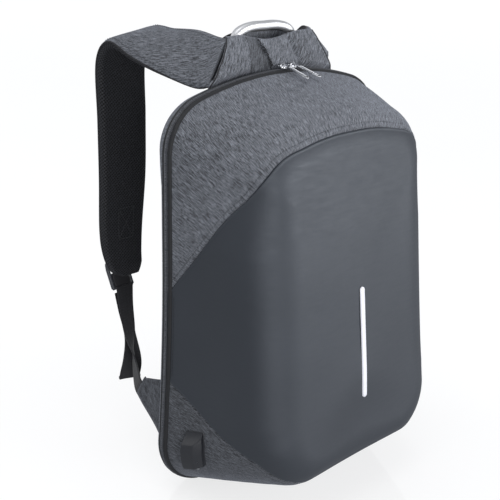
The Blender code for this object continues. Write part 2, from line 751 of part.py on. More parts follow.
def make_handle():
    """A bail of round bar: stubs along X in the sleeves, legs up, and a flat arch."""
    axis = Vector((0, ZIP_Y + HANDLE_Y, HANDLE_AXIS_Z))
    half = [
        (HANDLE_HALF + 0.0135, 0, HANDLE_AXIS_Z),
        (HANDLE_HALF + 0.008, 0, HANDLE_AXIS_Z),
        (HANDLE_HALF + 0.0035, 0, HANDLE_AXIS_Z + 0.0015),
        (HANDLE_HALF + 0.0015, 0, HANDLE_AXIS_Z + 0.006),
        (HANDLE_HALF + 0.0005, 0, HANDLE_AXIS_Z + 0.011),
        (HANDLE_HALF - 0.0035, 0, HANDLE_AXIS_Z + 0.0165),
        (HANDLE_HALF - 0.0130, 0, HANDLE_AXIS_Z + 0.0212),
        (HANDLE_HALF - 0.0270, 0, HANDLE_AXIS_Z + 0.0235),
    ]
    path = half + [(0, 0, HANDLE_TOP_Z)] + [(-x, y, z) for x, y, z in reversed(half)]
    path = [(x, ZIP_Y + HANDLE_Y, z) for x, y, z in path]
    fine = [tuple(p) for p in spline(path, 28)]
    tube_solid("carry_handle", round_rings(fine, HANDLE_BAR, 10), 10, "metal", axis)
    for word, side in (("left", -1), ("right", 1)):
        middle = Vector((side * (HANDLE_HALF + 0.0095), ZIP_Y + HANDLE_Y, HANDLE_AXIS_Z))
        sleeve(f"handle_anchor_{word}", middle, 0.0065, 0.0048, 0.0068, 0.4380)


def sleeve(name, middle, length, bore, radius, foot_z):
    """A tube along X on a short foot, open at both ends."""
    sides = 16
    rings = []
    for x in (-length / 2, length / 2):
        for r in (radius, bore):
            for k in range(sides):
                a = 2 * math.pi * k / sides
                y, z = r * math.cos(a), r * math.sin(a)
                if r == radius and z < -0.3 * radius:
                    z = foot_z - middle.z
                rings.append(middle + Vector((x, y, z)))
    faces = []
    for k in range(sides):
        n = (k + 1) % sides
        a, b, c, d = (ring * sides for ring in range(4))
        faces += [(a + k, a + n, c + n, c + k), (b + k, b + n, d + n, d + k)]
        faces += [(a + k, a + n, b + n, b + k), (c + k, c + n, d + n, d + k)]
    return add_object(name, rings, faces, "black")


# ---------------------------------------------------------------- zip sliders and pulls

SLIDER_SIZE = (0.0105, 0.0076, 0.0018)
SLIDER_LIFT = 0.0022
CROWN_RISE = 0.0024
CROWN_BAR = 0.0005
PULL_LENGTH = 0.037
PULL_WIDTH = 0.0044
PULL_THICK = 0.0012
PULL_SLOPE = math.radians(16.5)
PULL_EYE = (0.0018, 0.0010)


def make_sliders():
    for word, centre_x, swing in (("left", 0.0040, 0.05), ("right", 0.0185, 0.20)):
        turn = math.asin(centre_x / TOP_ARC_RADIUS)
        pivot = Vector((0, ZIP_Y, HEIGHT - TOP_ARC_RADIUS))
        slider(f"zip_slider_{word}", pivot, turn)
        crown_z = TOP_ARC_RADIUS + SLIDER_LIFT + SLIDER_SIZE[2] + CROWN_RISE - CROWN_BAR
        crown = pivot + Vector((crown_z * math.sin(turn), 0, crown_z * math.cos(turn)))
        pull(f"zip_pull_{word}", crown, turn, swing)


def slider(name, pivot, turn):
    """Slider body over both halves of the zip, with the crown that holds the pull, as one solid."""
    length, width, height = SLIDER_SIZE
    base = TOP_ARC_RADIUS + SLIDER_LIFT
    low = (-length / 2, -width / 2, base)
    body = rounded_box(name, low, (length / 2, width / 2, base + height), 0.0006, "metal", 2)
    path = [(-0.0036, height - 0.001), (-0.0036, height + 0.0009)]
    path.append((-0.0024, height + CROWN_RISE - CROWN_BAR))
    path += [(-x, z) for x, z in reversed(path)]
    rings = round_rings([(x, 0, base + z) for x, z in path], CROWN_BAR, 8)
    crown = tube_solid(f"{name}_crown", rings, 8, "metal")
    join(body, crown)
    body.matrix_world = Matrix.Translation(pivot) @ Matrix.Rotation(turn, 4, "Y")
    crown.matrix_world = body.matrix_world


def join(body, other):
    """One solid from two that overlap; the other stays as a hidden guide."""
    cut(body, other)
    body.modifiers[-1].operation = "UNION"


def washer(name, outer, inner, thick, sides, look):
    """A flat ring round the X axis."""
    points = []
    for x in (-thick / 2, thick / 2):
        for r in (outer, inner):
            for k in range(sides):
                a = 2 * math.pi * k / sides
                points.append((x, r * math.cos(a), r * math.sin(a)))
    faces = []
    a, b, c, d = (ring * sides for ring in range(4))
    for k in range(sides):
        n = (k + 1) % sides
        faces += [(a + k, a + n, c + n, c + k), (b + k, b + n, d + n, d + k)]
        faces += [(a + k, a + n, b + n, b + k), (c + k, c + n, d + n, d + k)]
    return add_object(name, points, faces, look)


def pull(name, crown, turn, swing):
    """A flat tab with an eye round the crown's bar, lying forward on the fabric."""
    eye = washer(name, *PULL_EYE, PULL_THICK, 14, "metal")
    half = PULL_WIDTH / 2
    low = (-half, -PULL_LENGTH, -PULL_THICK / 2)
    high = (half, -sum(PULL_EYE) / 2, PULL_THICK / 2)
    tab = rounded_box(f"{name}_tab", low, high, 0.0005, "metal", 1)
    join(eye, tab)
    lean = Matrix.Rotation(turn, 4, "Y") @ Matrix.Rotation(swing, 4, "Z")
    lean @= Matrix.Rotation(PULL_SLOPE, 4, "X")
    eye.matrix_world = Matrix.Translation(crown) @ lean
    tab.matrix_world = eye.matrix_world


# ---------------------------------------------------------------- charging port

PORT_SHARE = (0.247, 0.307)
PORT_DEPTH = (0.028, 0.052)
PORT_RISE = 0.0095
PORT_GAP = 0.0003
BANK_SIZE = (0.066, 0.012, 0.134)
POCKET_DEEP = 0.095
BOARD_Z = 0.0096


def surface_point(share, depth, side):
    """Point and outward normal of the shell at a depth in front of the zip, on one side."""
    length = ZIP_Y - rib_point(share, 1.0)[1]
    point = rib_point(share, depth / length)
    along = rib_point(share + 0.002, depth / length) - point
    forward = rib_point(share, depth / length + 0.01) - point
    normal = np.cross(forward, along)
    normal /= np.linalg.norm(normal)
    normal *= np.sign(normal[0])
    return point * (side, 1, 1), normal * (side, 1, 1)


def wall_frame(share, depth, side, below):
    """Frame on the shell's side wall: X runs forward along the wall, Y outward and Z up the wall."""
    point, normal = surface_point(share, depth, side)
    outward = Vector(normal).normalized()
    upward = Vector((0, 0, 1))
    upward = (upward - outward * upward.dot(outward)).normalized()
    forward = outward.cross(upward)
    turn = Matrix((forward, outward, upward)).transposed().to_4x4()
    return Matrix.Translation(Vector(point) - outward * below) @ turn


def pouch(name, low, high, wall, look, place):
    """A box that is open at its top."""
    low, high = Vector(low), Vector(high)
    body = rounded_box(name, low, high, wall * 0.8, look, 1)
    inner_low = low + Vector((wall, wall, wall))
    inner_high = high + Vector((-wall, -wall, wall))
    cutter = rounded_box(f"{name}_room", inner_low, inner_high, wall * 0.3, look, 1)
    cut(body, cutter)
    body.matrix_world = place
    cutter.matrix_world = place
    return body


def make_charging_port():
    """Hood on the left side near the base, with the socket facing down in its lower end."""
    rises = (0.88, 1.0, 1.0, 0.95, 0.72, 0.38, 0.10)
    base, outer = [], []
    for i, rise in enumerate(rises):
        share = PORT_SHARE[0] + (PORT_SHARE[1] - PORT_SHARE[0]) * i / (len(rises) - 1)
        row_base, row_outer = [], []
        for k, squeeze in ((0, 0.10), (0.18, 0), (0.5, 0), (0.82, 0), (1, -0.10)):
            depth = PORT_DEPTH[0] + (PORT_DEPTH[1] - PORT_DEPTH[0]) * k
            point, normal = surface_point(share, depth, -1)
            inner, _ = surface_point(share, depth + squeeze * (PORT_DEPTH[1] - PORT_DEPTH[0]), -1)
            edge = 0.72 if k in (0, 1) else 1.0
            row_base.append(point + normal * 0.0004)
            row_outer.append(inner + normal * (0.0008 + PORT_RISE * rise * edge))
        base.append(row_base)
        outer.append(row_outer)
    hood = sheet_solid("usb_hood", np.array(outer), np.array(base), "plastic")
    place = wall_frame(PORT_SHARE[0], sum(PORT_DEPTH) / 2, -1, 0)
    half, low_y, high_y, deep = 0.0067, 0.0018, 0.0073, 0.0130
    room = rounded_box(
        "usb_hood_room",
        (-half - PORT_GAP, low_y - PORT_GAP, -0.004),
        (half + PORT_GAP, high_y + PORT_GAP, deep + PORT_GAP),
        0.0002,
        "plastic",
        1,
    )
    room.matrix_world = place
    cut(hood, room)
    socket = rounded_box("usb_socket", (-half, low_y, 0.0010), (half, high_y, deep), 0.0004, "metal", 1)
    mouth = rounded_box(
        "usb_socket_room",
        (-half + 0.0007, low_y + 0.0007, -0.004),
        (half - 0.0007, high_y - 0.0007, deep - 0.003),
        0.0001,
        "metal",
        1,
    )
    mouth.matrix_world = place
    socket.matrix_world = place
    cut(socket, mouth)


def make_power_pocket():
    """Elastic pocket for the power bank on the lining of the left wall, and the power bank in it."""
    place = wall_frame(0.46, 0.070, -1, LINING_IN + 0.0040)
    width, thick, height = BANK_SIZE
    low = Vector((-width / 2, -thick, -height / 2))
    bank = rounded_box("power_bank", low, low + Vector(BANK_SIZE), 0.003, "plastic", 2)
    bank.matrix_world = place
    room = Vector((0.0018, 0.0018, 0.0018))
    top = Vector((width / 2, 0, -height / 2 + POCKET_DEEP)) + Vector((room.x, room.y, 0))
    pouch("power_bank_pocket", low - room, top, 0.0013, "black", place)


def make_inside():
    """Board, hinge tape and pockets."""
    board = [(-0.060, -0.018), (0.060, -0.018), (0.050, -0.054), (-0.050, -0.054)]
    prism("base_board", [(x, ZIP_Y + y, BOARD_Z) for x, y in board], (0, 0, 0.002), "board")
    low = (-0.055, ZIP_Y - 0.0165, LINING_IN + 0.0010)
    rounded_box("hinge_tape", low, (0.055, ZIP_Y + 0.0035, LINING_IN + 0.0019), 0.0002, "black", 1)
    for name, (half, front, foot), (back, top), wall in (
        ("laptop_sleeve", (0.128, -0.0220, 0.045), (0.0088, 0.310), 0.0032),
        ("tablet_pocket", (0.105, -0.0325, 0.052), (-0.0223, 0.240), 0.0013),
        ("organiser_pocket", (0.077, -0.1230, 0.094), (-0.1125, 0.218), 0.0013),
    ):
        low, high = (-half, ZIP_Y + front, foot), (half, ZIP_Y + back, top)
        pouch(name, low, high, wall, "lining", Matrix.Identity(4))


def make_reflective_strip():
    """A narrow upright strip on the middle of the wrap panel, with rounded ends."""
    low, high, half = 0.123, 0.247, 0.0030
    points = []
    for lift in (0.0003, 0.0009):
        for z in np.linspace(low, high, 9):
            end = min(z - low, high - z)
            wide = half * (0.55 if end < 1e-6 else 1.0)
            for x in (-wide, wide):
                points.append((x, front_y(z) - lift, z))
    count = 18
    faces = []
    for i in range(8):
        a, b, c, d = 2 * i, 2 * i + 1, 2 * i + 3, 2 * i + 2
        faces.append((a, b, c, d))
        faces.append((count + a, count + d, count + c, count + b))
        faces.append((a, d, count + d, count + a))
        faces.append((b, c, count + c, count + b))
    faces.append((0, 1, count + 1, count))
    faces.append((16, 17, count + 17, count + 16))
    add_object("reflective_strip", [Vector(p) for p in points], faces, "reflective")


def front_y(z):
    """y of the shell's front at a height, on the middle line."""
    share_low, share_high = 0.0, 1.0
    for _ in range(40):
        middle = (share_low + share_high) / 2
        if rib_point(middle, 3.0)[2] < z:
            share_low = middle
        else:
            share_high = middle
    if z <= rib_point(0.0, 3.0)[2]:
        return line_y(0.0, z)
    return rib_point(share_high, 3.0)[1]


def line_y(share, z):
    """y on the rib's front run at a height below its end on the spine."""
    low, high = 2.0, 3.0
    for _ in range(40):
        middle = (low + high) / 2
        if rib_point(share, middle)[2] < z:
            low = middle
        else:
            high = middle
    return rib_point(share, high)[1]


def main():
    clear_scene()
    make_front_shell()
    zip_half("zip_front_half", side_point)
    zip_half("zip_back_half", back_point)
    make_back_half()
    make_back_pads()
    make_straps()
    make_lower_straps()
    make_collar()
    make_handle()
    make_sliders()
    make_charging_port()
    make_reflective_strip()
    make_power_pocket()
    make_inside()


main()
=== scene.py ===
"""Looks of the clamshell backpack: fabric, zip, straps, collar, handle, port, pockets, light and camera.

Metres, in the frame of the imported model: +Z up, the front faces -Y, the zip's plane is y = ZIP_Y.
"""

import math

import bmesh
import bpy
import numpy as np
from mathutils import Matrix, Vector, noise


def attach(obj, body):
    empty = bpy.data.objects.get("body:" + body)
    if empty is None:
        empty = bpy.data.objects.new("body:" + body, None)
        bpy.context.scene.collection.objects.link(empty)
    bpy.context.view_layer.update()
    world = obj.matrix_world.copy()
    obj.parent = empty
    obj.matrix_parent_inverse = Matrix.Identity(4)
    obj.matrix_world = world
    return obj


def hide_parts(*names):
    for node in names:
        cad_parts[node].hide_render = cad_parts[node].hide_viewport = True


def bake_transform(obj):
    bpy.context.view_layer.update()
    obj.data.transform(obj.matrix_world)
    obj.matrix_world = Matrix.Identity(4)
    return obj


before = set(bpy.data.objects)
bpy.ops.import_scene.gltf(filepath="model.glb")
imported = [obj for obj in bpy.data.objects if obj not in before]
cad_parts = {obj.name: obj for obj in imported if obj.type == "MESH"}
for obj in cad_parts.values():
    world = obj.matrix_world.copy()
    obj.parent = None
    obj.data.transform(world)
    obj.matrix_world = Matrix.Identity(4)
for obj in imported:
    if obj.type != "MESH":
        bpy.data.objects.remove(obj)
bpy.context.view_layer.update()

# Shape of the front shell, as in the CAD model
ZIP_Y = 0.040
HEIGHT = 0.450
BASE_HALF_WIDTH = 0.164
WAIST_HALF_WIDTH = 0.152
WAIST_HEIGHT = 0.279
BASE_CORNER_RADIUS = 0.060
TOP_CORNER_RADIUS = 0.055
TOP_ARC_RADIUS = 0.400
BASE_DEPTH = 0.158
TOP_DEPTH = 0.102
FRONT_SCALE = 0.74
FRONT_LOW = 0.051
FRONT_HIGH = 0.418
FRONT_FILLET = 0.034
FRONT_CROWN = 0.002
WALL_CROWN = 0.0070
SPINE_LOW = 0.30
SPINE_HIGH = 0.62
BASE_SIDE_LINE = 0.108
BASE_SIDE_TAPER = 0.838
BASE_SIDE_RISE = 0.52
BASE_FRONT_LINE = 0.084
BASE_BLEND = 0.010

# Seam of the wrap panel: share of the half outline from base to top, and how far in from the zip it lies
SEAM_SHARE = (0.0, 0.178, 0.222, 0.26, 0.395, 0.53, 0.69, 0.76, 0.83, 1.0)
SEAM_ROW = (1.50, 1.42, 1.22, 1.0, 0.0, 0.0, 0.87, 1.38, 1.60, 1.65)
LOWER_TIP = 0.395
UPPER_TIP = 0.53

# Layers below the outer surface
FABRIC = 0.0012
FOAM_OUT = 0.0016
FOAM_IN = 0.0054
LINING_OUT = 0.0058
LINING_IN = 0.0066

# Zip
ZIP_END = 0.150
TOOTH_PITCH = 0.0015

# Back half: distance behind the zip's plane, inset from the outline at the top, and at the sides
RIM_PROFILE = (
    (0.0003, 0.0, 0.0),
    (0.0068, 0.0012, 0.0008),
    (0.0105, 0.0030, 0.0050),
    (0.0150, 0.0052, 0.0105),
    (0.0210, 0.0105, 0.0185),
    (0.0260, 0.0200, 0.0270),
)
RIM_SIDE_BELOW = 0.290
RIM_TOP_ABOVE = 0.400
HINGE_LIFT = 0.0006

FLOOR_GAP = 0.0001
WEBBING_WIDTH = 0.024
WEBBING_THICK = 0.0016
SIDES = (("left", -1), ("right", 1))


# ---------------------------------------------------------------- lines and numbers


def ease(value, start, end):
    """Smooth step from 0 to 1."""
    t = min(max((value - start) / (end - start), 0.0), 1.0)
    return t * t * (3 - 2 * t)


def ridge(distance, width):
    """Height of a rounded ridge at a distance from its line, where it is 1."""
    return np.exp(-((distance / width) ** 2))


def power(value, exponent):
    """A power that keeps the sign of the value."""
    return math.copysign(abs(value) ** exponent, value)


def unit(vectors):
    """Vectors of length 1, from an array whose last axis holds each vector."""
    vectors = np.asarray(vectors)
    return vectors / np.linalg.norm(vectors, axis=-1, keepdims=True)


def run_along(points):
    """Distance along a path from its first point to each point."""
    return np.r_[0, np.cumsum(np.linalg.norm(np.diff(points, axis=0), axis=1))]


def read_at(at, run, values):
    """Rows of values at distances along a run."""
    values = np.asarray(values)
    return np.stack([np.interp(at, run, values[:, k]) for k in range(values.shape[1])], axis=-1)


def spline(points, count):
    """Evenly spaced points of a smooth curve through the given points."""
    pts = np.array(points, float)
    ext = np.vstack([2 * pts[0] - pts[1], pts, 2 * pts[-1] - pts[-2]])
    fine = []
    for a, b, c, d in zip(ext, ext[1:], ext[2:], ext[3:]):
        for t in np.linspace(0, 1, 24, endpoint=False):
            bend = (2 * a - 5 * b + 4 * c - d) * t**2 + (3 * b - a - 3 * c + d) * t**3
            fine.append(0.5 * (2 * b + (c - a) * t + bend))
    fine = np.array([*fine, pts[-1]])
    run = run_along(fine[:, :3])
    return read_at(np.linspace(0, run[-1], count), run, fine)


def circle(count):
    """Cosine and sine of evenly spaced angles round a circle."""
    return [(math.cos(a), math.sin(a)) for a in np.linspace(0, 2 * math.pi, count, endpoint=False)]


# ---------------------------------------------------------------- meshes


def link(name, data, look=None):
    """A mesh, lamp or camera as an object in the scene."""
    if look is not None:
        data.materials.append(look)
    made = bpy.data.objects.new(name, data)
    bpy.context.scene.collection.objects.link(made)
    return made


def from_bmesh(name, work, look, smooth_angle=50):
    """An object from a bmesh, smooth apart from its edges past an angle."""
    mesh = bpy.data.meshes.new(name)
    work.to_mesh(mesh)
    work.free()
    mesh.shade_smooth()
    mesh.set_sharp_from_angle(angle=math.radians(smooth_angle))
    return link(name, mesh, look)


def mesh_object(name, points, faces, look, uvs=None, smooth_angle=55):
    """A mesh from points and faces, with a UV map in metres where uvs gives one pair for each point."""
    mesh = bpy.data.meshes.new(name)
    mesh.from_pydata([tuple(p) for p in points], [], faces)
    mesh.validate()
    if uvs is not None:
        layer = mesh.uv_layers.new(name="metres")
        flat = np.array([uvs[loop.vertex_index] for loop in mesh.loops], dtype=np.float32)
        layer.data.foreach_set("uv", flat.ravel())
    mesh.shade_smooth()
    mesh.set_sharp_from_angle(angle=math.radians(smooth_angle))
    return link(name, mesh, look)


def tidy(obj, distance=1e-5):
    """Merges points that coincide and turns the faces outwards."""
    work = bmesh.new()
    work.from_mesh(obj.data)
    bmesh.ops.remove_doubles(work, verts=work.verts, dist=distance)
    bmesh.ops.dissolve_degenerate(work, edges=work.edges, dist=distance * 0.1)
    bmesh.ops.recalc_face_normals(work, faces=work.faces)
    work.to_mesh(obj.data)
    work.free()
    return obj


def layered_mesh(name, outer, inner, uv, look, closed=False, walls=(True, True), smooth_angle=55):
    """A closed skin over two grids of points, one on each face."""
    rows, columns = outer.shape[:2]
    size = rows * columns
    faces = []
    for i in range(rows if closed else rows - 1):
        k = (i + 1) % rows
        for j in range(columns - 1):
            a, b = i * columns + j, k * columns + j
            faces.append((a, b, b + 1, a + 1))
            faces.append((size + a, size + a + 1, size + b + 1, size + b))
        for j in [j for j, wall in zip((0, columns - 1), walls) if wall]:
            a, b = i * columns + j, k * columns + j
            faces.append((a, size + a, size + b, b))
    if not closed:
        for i in (0, rows - 1):
            for j in range(columns - 1):
                a, b = i * columns + j, i * columns + j + 1
                faces.append((a, b, size + b, size + a))
    points = np.concatenate([outer.reshape(-1, 3), inner.reshape(-1, 3)])
    uvs = np.concatenate([np.asarray(uv).reshape(-1, 2)] * 2)
    return tidy(mesh_object(name, points, faces, look, uvs, smooth_angle))


def sheet_mesh(name, grid, uv, look, thick, closed=False, walls=(True, True)):
    """A cloth sheet of a thickness from a grid of points; the grid's own surface is its outer face.

    walls says whether the first and the last column end in a cut edge, or meet their own mirror image.
    """
    grid = np.asarray(grid)
    return layered_mesh(name, grid, grid - grid_normals(grid, closed) * thick, uv, look, closed, walls)


def grid_normals(grid, closed=False):
    """Unit normals of a grid of points."""
    if closed:
        along = np.roll(grid, -1, 0) - np.roll(grid, 1, 0)
    else:
        along = np.gradient(grid, axis=0)
    across = np.gradient(grid, axis=1)
    normals = np.cross(along, across)
    size = np.linalg.norm(normals, axis=2, keepdims=True)
    for _ in range(3):
        flat = size[..., 0] < 1e-12
        normals[flat] = np.roll(normals, 1, 1)[flat]
        size = np.linalg.norm(normals, axis=2, keepdims=True)
    return normals / np.maximum(size, 1e-15)


def tube_mesh(name, rings, look, uvs=None, closed=False, smooth_angle=55):
    """A closed tube through rings of points; its ends are flat caps unless the path is closed."""
    rings = np.asarray(rings)
    count, sides = rings.shape[:2]
    faces = []
    for i in range(count if closed else count - 1):
        k = (i + 1) % count
        for j in range(sides):
            n = (j + 1) % sides
            faces.append((i * sides + j, i * sides + n, k * sides + n, k * sides + j))
    if not closed:
        faces.append(tuple(range(sides)))
        faces.append(tuple(reversed(range((count - 1) * sides, count * sides))))
    flat_uv = None if uvs is None else np.asarray(uvs).reshape(-1, 2)
    return tidy(mesh_object(name, rings.reshape(-1, 3), faces, look, flat_uv, smooth_angle))


def round_tube(name, path, radius, look, sides=12, closed=False, flatten=1.0):
    """A round or oval bar along a path. flatten scales it along the path's second normal."""
    path = [Vector(p) for p in path]
    count = len(path)
    rings = []
    side = None
    for i, centre in enumerate(path):
        ahead = path[(i + 1) % count if closed else min(i + 1, count - 1)]
        behind = path[(i - 1) % count if closed else max(i - 1, 0)]
        line = (ahead - behind).normalized()
        start = side if side is not None else line.orthogonal()
        side = (start - line * start.dot(line)).normalized()
        other = line.cross(side) * flatten
        rings.append([centre + (side * c + other * s) * radius for c, s in circle(sides)])
    return tube_mesh(name, rings, look, closed=closed)


def box_mesh(name, low, high, look, radius, segments=3):
    """A box with rounded edges."""
    low, high = Vector(low), Vector(high)
    work = bmesh.new()
    bmesh.ops.create_cube(work, size=1.0)
    bmesh.ops.scale(work, vec=high - low, verts=work.verts)
    bmesh.ops.bevel(work, geom=work.edges, offset=radius, segments=segments, affect="EDGES", profile=0.5)
    bmesh.ops.translate(work, vec=(low + high) / 2, verts=work.verts)
    return from_bmesh(name, work, look)


def joined(name, objects, place=None):
    """One mesh object from several, with their places and modifiers applied."""
    for part in objects if place is not None else ():
        part.matrix_world = place
    bpy.context.view_layer.update()
    graph = bpy.context.evaluated_depsgraph_get()
    work = bmesh.new()
    look = objects[0].data.materials[0]
    for part in objects:
        mesh = bpy.data.meshes.new_from_object(part.evaluated_get(graph))
        mesh.transform(part.matrix_world)
        work.from_mesh(mesh)
        bpy.data.meshes.remove(mesh)
    mesh = bpy.data.meshes.new(name)
    work.to_mesh(mesh)
    work.free()
    mesh.materials.clear()
    for part in objects:
        bpy.data.objects.remove(part)
    return link(name, mesh, look)


def cut(name, block, tool):
    """One mesh of a block less a tool, which is used up."""
    bpy.context.view_layer.update()
    step = block.modifiers.new("cut", "BOOLEAN")
    step.operation = "DIFFERENCE"
    step.solver = "EXACT"
    step.object = tool
    made = joined(name, [block])
    bpy.data.objects.remove(tool)
    return made


def put(obj, body, slot, *nodes):
    """Rides on a body and stands for the CAD nodes named; slot is not used."""
    if obj.matrix_world == Matrix.Identity(4):
        for vert in obj.data.vertices:
            vert.co.z = max(vert.co.z, FLOOR_GAP)
    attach(obj, body)
    if nodes:
        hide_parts(*nodes)
    return obj


def cord(name, path, radius, look=None, sides=10, **shape):
    """Round piping or binding on the back half."""
    return put(round_tube(name, path, radius, look or BINDING, sides, **shape), "back_half", "black")


# ---------------------------------------------------------------- materials


class Nodes:
    """Short names for building a material's node tree."""

    def __init__(self, name):
        self.look = bpy.data.materials.new(name)
        self.look.use_nodes = True
        self.tree = self.look.node_tree
        self.shader = self.tree.nodes["Principled BSDF"]

    def add(self, kind, **settings):
        node = self.tree.nodes.new(kind)
        for key, value in settings.items():
            if key in node.inputs:
                node.inputs[key].default_value = value
            else:
                setattr(node, key, value)
        return node

    def link(self, out, into):
        self.tree.links.new(out, into)
        return out

    def metres(self, scale=(1, 1, 1), turn=0.0):
        """UV coordinates in metres, turned and then scaled."""
        source = self.add("ShaderNodeUVMap", uv_map="metres").outputs["UV"]
        spin = self.add("ShaderNodeMapping")
        spin.inputs["Rotation"].default_value = (0, 0, turn)
        self.link(source, spin.inputs["Vector"])
        size = self.add("ShaderNodeMapping")
        size.inputs["Scale"].default_value = scale
        self.link(spin.outputs["Vector"], size.inputs["Vector"])
        return size.outputs["Vector"]

    def space(self, scale=(1, 1, 1)):
        """The object's own coordinates, scaled."""
        source = self.add("ShaderNodeTexCoord").outputs["Object"]
        size = self.add("ShaderNodeMapping")
        size.inputs["Scale"].default_value = scale
        self.link(source, size.inputs["Vector"])
        return size.outputs["Vector"]

    def noise(self, at, scale, detail=2.0, rough=0.5, warp=0.0):
        node = self.add("ShaderNodeTexNoise", Scale=scale, Detail=detail, Roughness=rough, Distortion=warp)
        self.link(at, node.inputs["Vector"])
        return node.outputs["Fac"]

    def voronoi(self, at, scale, feature="F1", jitter=1.0):
        node = self.add("ShaderNodeTexVoronoi", feature=feature, Scale=scale, Randomness=jitter)
        self.link(at, node.inputs["Vector"])
        return node.outputs["Distance"]

    def wave(self, at, scale, direction="X"):
        node = self.add("ShaderNodeTexWave", bands_direction=direction, Scale=scale)
        self.link(at, node.inputs["Vector"])
        return node.outputs["Fac"]

    def ramp(self, value, low, high, start, end):
        node = self.add("ShaderNodeMapRange")
        for key, number in zip(("From Min", "From Max", "To Min", "To Max"), (low, high, start, end)):
            node.inputs[key].default_value = number
        self.link(value, node.inputs["Value"])
        return node.outputs["Result"]

    def maths(self, kind, a, b):
        node = self.add("ShaderNodeMath", operation=kind)
        for value, entry in zip((a, b), node.inputs):
            if isinstance(value, (int, float)):
                entry.default_value = value
            else:
                self.link(value, entry)
        return node.outputs[0]

    def weighted(self, *pairs):
        """Sum of values, each times its weight."""
        total = None
        for value, weight in pairs:
            part = self.maths("MULTIPLY", value, weight)
            total = part if total is None else self.maths("ADD", total, part)
        return total

    def crossed(self, kind, angle, rate, other=None):
        """Waves along and across the cloth, combined by a kind of sum."""
        along = self.wave(self.metres(turn=angle), rate, "X")
        return self.maths(kind, along, self.wave(self.metres(turn=angle), other or rate, "Y"))

    def mix(self, share, low, high):
        node = self.add("ShaderNodeMix", data_type="RGBA")
        self.link(share, node.inputs["Factor"])
        for colour, entry in ((low, node.inputs["A"]), (high, node.inputs["B"])):
            if hasattr(colour, "links"):
                self.link(colour, entry)
            else:
                entry.default_value = (*colour, 1)
        return node.outputs["Result"]

    def colour(self, value):
        self.link(value, self.shader.inputs["Base Color"])

    def rough(self, value):
        if isinstance(value, (int, float)):
            self.shader.inputs["Roughness"].default_value = value
        else:
            self.link(value, self.shader.inputs["Roughness"])

    def bump(self, height, depth, strength=1.0):
        node = self.add("ShaderNodeBump", Strength=strength, Distance=depth)
        self.link(height, node.inputs["Height"])
        previous = self.shader.inputs["Normal"]
        if previous.is_linked:
            self.link(previous.links[0].from_socket, node.inputs["Normal"])
        self.link(node.outputs["Normal"], previous)

    def sheen(self, weight, tint=(1, 1, 1)):
        self.shader.inputs["Sheen Weight"].default_value = weight
        self.shader.inputs["Sheen Roughness"].default_value = 0.45
        self.shader.inputs["Sheen Tint"].default_value = (*tint, 1)


def melange_look(name, dark, pale, angle=0.45, gain=1.0):
    """Two-tone melange cloth: fine slanted streaks of dark and pale yarn over a plain weave."""
    n = Nodes(name)
    long_streak = n.noise(n.metres((1150, 95, 1), angle), 1.0, 3.0, 0.62, 0.15)
    short_streak = n.noise(n.metres((1900, 300, 1), angle + 0.08), 1.0, 2.0, 0.55)
    cross = n.noise(n.metres((260, 1500, 1), angle), 1.0, 2.0, 0.55)
    mixed = n.weighted((long_streak, 0.55), (short_streak, 0.30), (cross, 0.15))
    tone = n.ramp(mixed, 0.43, 0.60, -0.04, 1.04)
    cloud = n.ramp(n.noise(n.space(), 14.0, 3.0), 0.3, 0.7, -0.08, 0.08)
    tone = n.maths("ADD", tone, cloud)
    # gain darkens both tones together; the base and collar-middle copies use it for painted shade.
    n.colour(n.mix(tone, [gain * c for c in dark], [gain * c for c in pale]))
    n.rough(n.ramp(mixed, 0.3, 0.7, 0.92, 0.74))
    n.bump(n.maths("ADD", n.crossed("MULTIPLY", angle, 420.0), mixed), 0.00022, 0.55)
    n.sheen(0.22, (0.75, 0.80, 0.95))
    return n.look


def coated_look():
    """Smooth coated cloth with a satin sheen, a fine leather-like grain and faint scuffs."""
    n = Nodes("coated")
    cloud = n.noise(n.space(), 9.0, 3.0)
    scuff = n.noise(n.space((60, 60, 340)), 1.0, 4.0, 0.6)
    tone = n.weighted((cloud, 0.6), (scuff, 0.4))
    n.colour(n.mix(n.ramp(tone, 0.35, 0.65, 0.0, 1.0), (0.0180, 0.0206, 0.0262), (0.0220, 0.0252, 0.0320)))
    n.rough(n.ramp(scuff, 0.3, 0.7, 0.50, 0.60))
    n.shader.inputs["Specular IOR Level"].default_value = 0.85
    n.shader.inputs["Specular Tint"].default_value = (0.84, 0.90, 1.0, 1.0)
    grain = n.voronoi(n.space(), 1500.0, "F1")
    n.bump(grain, 0.00010, 0.35)
    n.bump(n.noise(n.space(), 70.0, 3.0), 0.0012, 0.16)
    n.sheen(0.03, (0.8, 0.85, 1.0))
    return n.look


def weave_look(name, colour, pitch=0.0012, pale=1.5, rough=0.8, angle=0.0, sheen=0.15):
    """Plain black or grey webbing and tape: a woven rib along the length with slight tone changes."""
    n = Nodes(name)
    rate = 1.0 / (2.0 * math.pi * pitch)
    weave = n.crossed("MULTIPLY", angle, rate, rate * 0.6)
    dust = n.noise(n.space(), 260.0, 3.0)
    tone = n.weighted((weave, 0.5), (dust, 0.6))
    n.colour(n.mix(tone, colour, [c * pale for c in colour]))
    n.rough(n.ramp(dust, 0.3, 0.7, rough - 0.06, rough + 0.08))
    n.bump(weave, 0.0003, 0.7)
    n.sheen(sheen)
    return n.look


